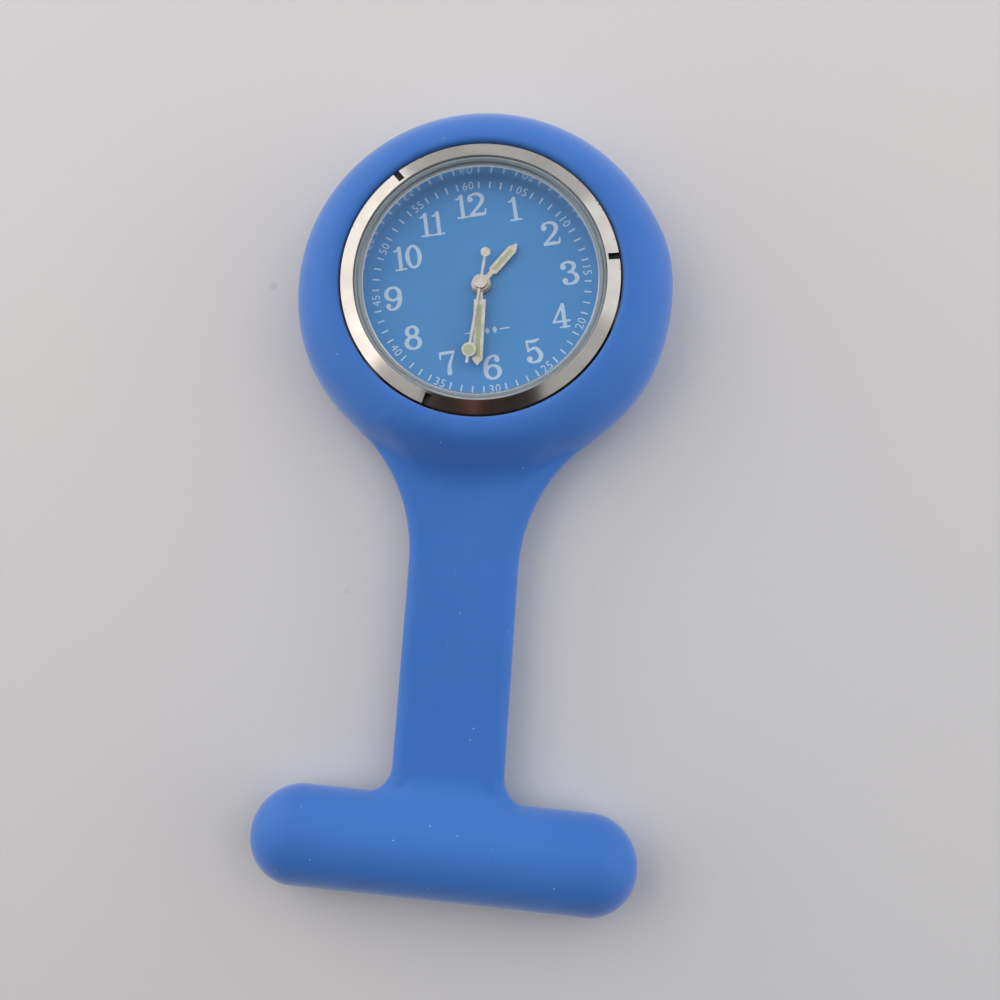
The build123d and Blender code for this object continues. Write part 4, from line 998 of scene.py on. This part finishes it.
def make_minute_ticks():
    """A short printed tick at every minute that has no figure."""
    recipe = Recipe("minute_ticks", {
        "Minutes": ("Int", 60), "Figures every": ("Int", 5), "Track radius": ("Float", TRACK_RADIUS * MM),
        "Tick size": ("Vector", (TICK_LENGTH * MM, TICK_WIDTH * MM, INK * MM)),
        "Height": ("Float", (DIAL_TOP + INK / 2) * MM), "Turn": ("Float", HEAD_TURN),
        "Finish": ("Material", FINISHES["ink"]),
    })
    circle = recipe.node("GeometryNodeMeshCircle", {},
                         {"Vertices": recipe.input("Minutes"), "Radius": recipe.input("Track radius")})
    tick = recipe.node("GeometryNodeMeshCube", {}, {"Size": recipe.input("Tick size")})
    index = recipe.node("GeometryNodeInputIndex")
    rest = recipe.node("ShaderNodeMath", {"operation": "MODULO"},
                       {0: index.outputs[0], 1: recipe.input("Figures every")})
    plain = recipe.node("ShaderNodeMath", {"operation": "GREATER_THAN"}, {0: rest.outputs[0], 1: 0.5})
    step = recipe.node("ShaderNodeMath", {"operation": "DIVIDE"},
                       {0: 2 * math.pi, 1: recipe.input("Minutes")})
    angle = recipe.node("ShaderNodeMath", {"operation": "MULTIPLY"},
                        {0: index.outputs[0], 1: step.outputs[0]})
    turned = recipe.node("ShaderNodeCombineXYZ", {}, {"Z": angle.outputs[0]})
    ticks = recipe.node("GeometryNodeInstanceOnPoints", {},
                        {"Points": circle.outputs["Mesh"], "Selection": plain.outputs[0],
                         "Instance": tick.outputs["Mesh"], "Rotation": turned.outputs[0]})
    lift = recipe.node("ShaderNodeCombineXYZ", {}, {"Z": recipe.input("Height")})
    swing = recipe.node("ShaderNodeCombineXYZ", {}, {"Z": recipe.input("Turn")})
    placed = recipe.node("GeometryNodeTransform", {},
                         {"Geometry": ticks.outputs[0], "Translation": lift.outputs[0],
                          "Rotation": swing.outputs[0]})
    print_on_dial("minute_ticks", recipe.run(placed.outputs[0]))


# ================================================================ stage, light and camera
SQUARE = ((-1, -1), (1, -1), (1, 1), (-1, 1))


def make_floor():
    """The pale board, a hair below the watch."""
    reach, level = 900.0, -0.02
    corners = [(x * reach, y * reach, level) for x, y in SQUARE]
    mesh_piece("floor", corners, [(0, 1, 2, 3)], floor_finish(), smooth=False)


def make_card(name, place, aim, width, height, colour):
    """A dark card that the polished steel mirrors, facing a point."""
    f = Finish(name)
    shade = f.blend(f.grain(0.01).between(0.4, 0.6), tint(*colour), tint(*(c * 0.8 for c in colour)))
    material = f.show(Base_Color=shade, Roughness=0.9)
    turn = (Vector(aim) - Vector(place)).to_track_quat("Z", "Y").to_matrix()
    corners = [Vector(place) + turn @ Vector((x * width / 2, y * height / 2, 0)) for x, y in SQUARE]
    card = mesh_piece(name, corners, [(0, 1, 2, 3)], material, smooth=False)
    card.visible_camera = False


def softbox(name, place, aim, width, height, glow, colour=(255, 255, 255), mirrored=True):
    """A large soft lamp that faces a point. Sizes are in millimetres, glow is how bright its face looks."""
    lamp = bpy.data.lights.new(name, "AREA")
    lamp.shape, lamp.size, lamp.size_y = "RECTANGLE", width * MM, height * MM
    lamp.energy = glow * math.pi * lamp.size * lamp.size_y
    lamp.color = tint(*colour)[:3]
    piece = linked(name, lamp)
    piece.visible_camera = False
    piece.visible_glossy = mirrored
    place, aim = Vector(place) * MM, Vector(aim) * MM
    piece.location = place
    piece.rotation_euler = (aim - place).to_track_quat("-Z", "Y").to_euler()


def make_light():
    """Soft light from both sides, a pale room round it, and small cards that colour the bezel."""
    world = bpy.data.worlds.new("room")
    world.use_nodes = True
    room = world.node_tree.nodes["Background"]
    room.inputs["Color"].default_value = tint(250, 251, 255)
    room.inputs["Strength"].default_value = 0.76
    bpy.context.scene.world = world
    bpy.context.scene.view_settings.view_transform = "Standard"
    softbox("left_box", (-310, 110, 210), (-60, 0, 0), 500, 430, 1.08, (255, 251, 245))
    softbox("right_box", (335, 110, 210), (60, 0, 0), 540, 430, 0.62, (248, 250, 255))
    softbox("left_low", (-420, -20, 75), (0, -20, 5), 620, 150, 1.3, (255, 251, 246), False)
    softbox("right_low", (420, -20, 75), (0, -20, 5), 620, 150, 1.3, (249, 251, 255), False)
    softbox("rose_card", (-96, 14, 188), (0, -10, 0), 76, 96, 0.3, (255, 214, 216))
    softbox("brown_card", (-12, -34, 190), (0, -10, 0), 24, 50, 0.5, (190, 112, 98))
    make_card("dark_card", (-20, -125, 205), (-10, -60, 0), 130, 270, (66, 58, 56))
    make_card("dark_wall", (0, -330, 160), (0, -30, 40), 800, 420, (90, 82, 78))


def make_camera():
    """A camera looking down at the dial from a little below it."""
    lens = bpy.data.cameras.new("camera")
    lens.sensor_width, lens.lens = 36.0, 32.4
    lens.clip_start, lens.clip_end = 0.005, 10.0
    camera = linked("camera", lens)
    place = Vector((9.62305, -35.62906, 101.68918)) * MM
    back = Vector((0.06107506, -0.12307375, 0.99051638)).normalized()
    right = Vector((0.99620027, 0.06924512, -0.05282167))
    right = (right - back * right.dot(back)).normalized()
    up = back.cross(right)
    camera.matrix_world = Matrix.Translation(place) @ Matrix((right, up, back)).transposed().to_4x4()
    bpy.context.scene.camera = camera


# ================================================================ all together
dress_nodes()
make_silicone()
make_hour_numerals()
make_minute_figures()
make_minute_ticks()
make_ornament()
make_floor()
make_light()
make_camera()
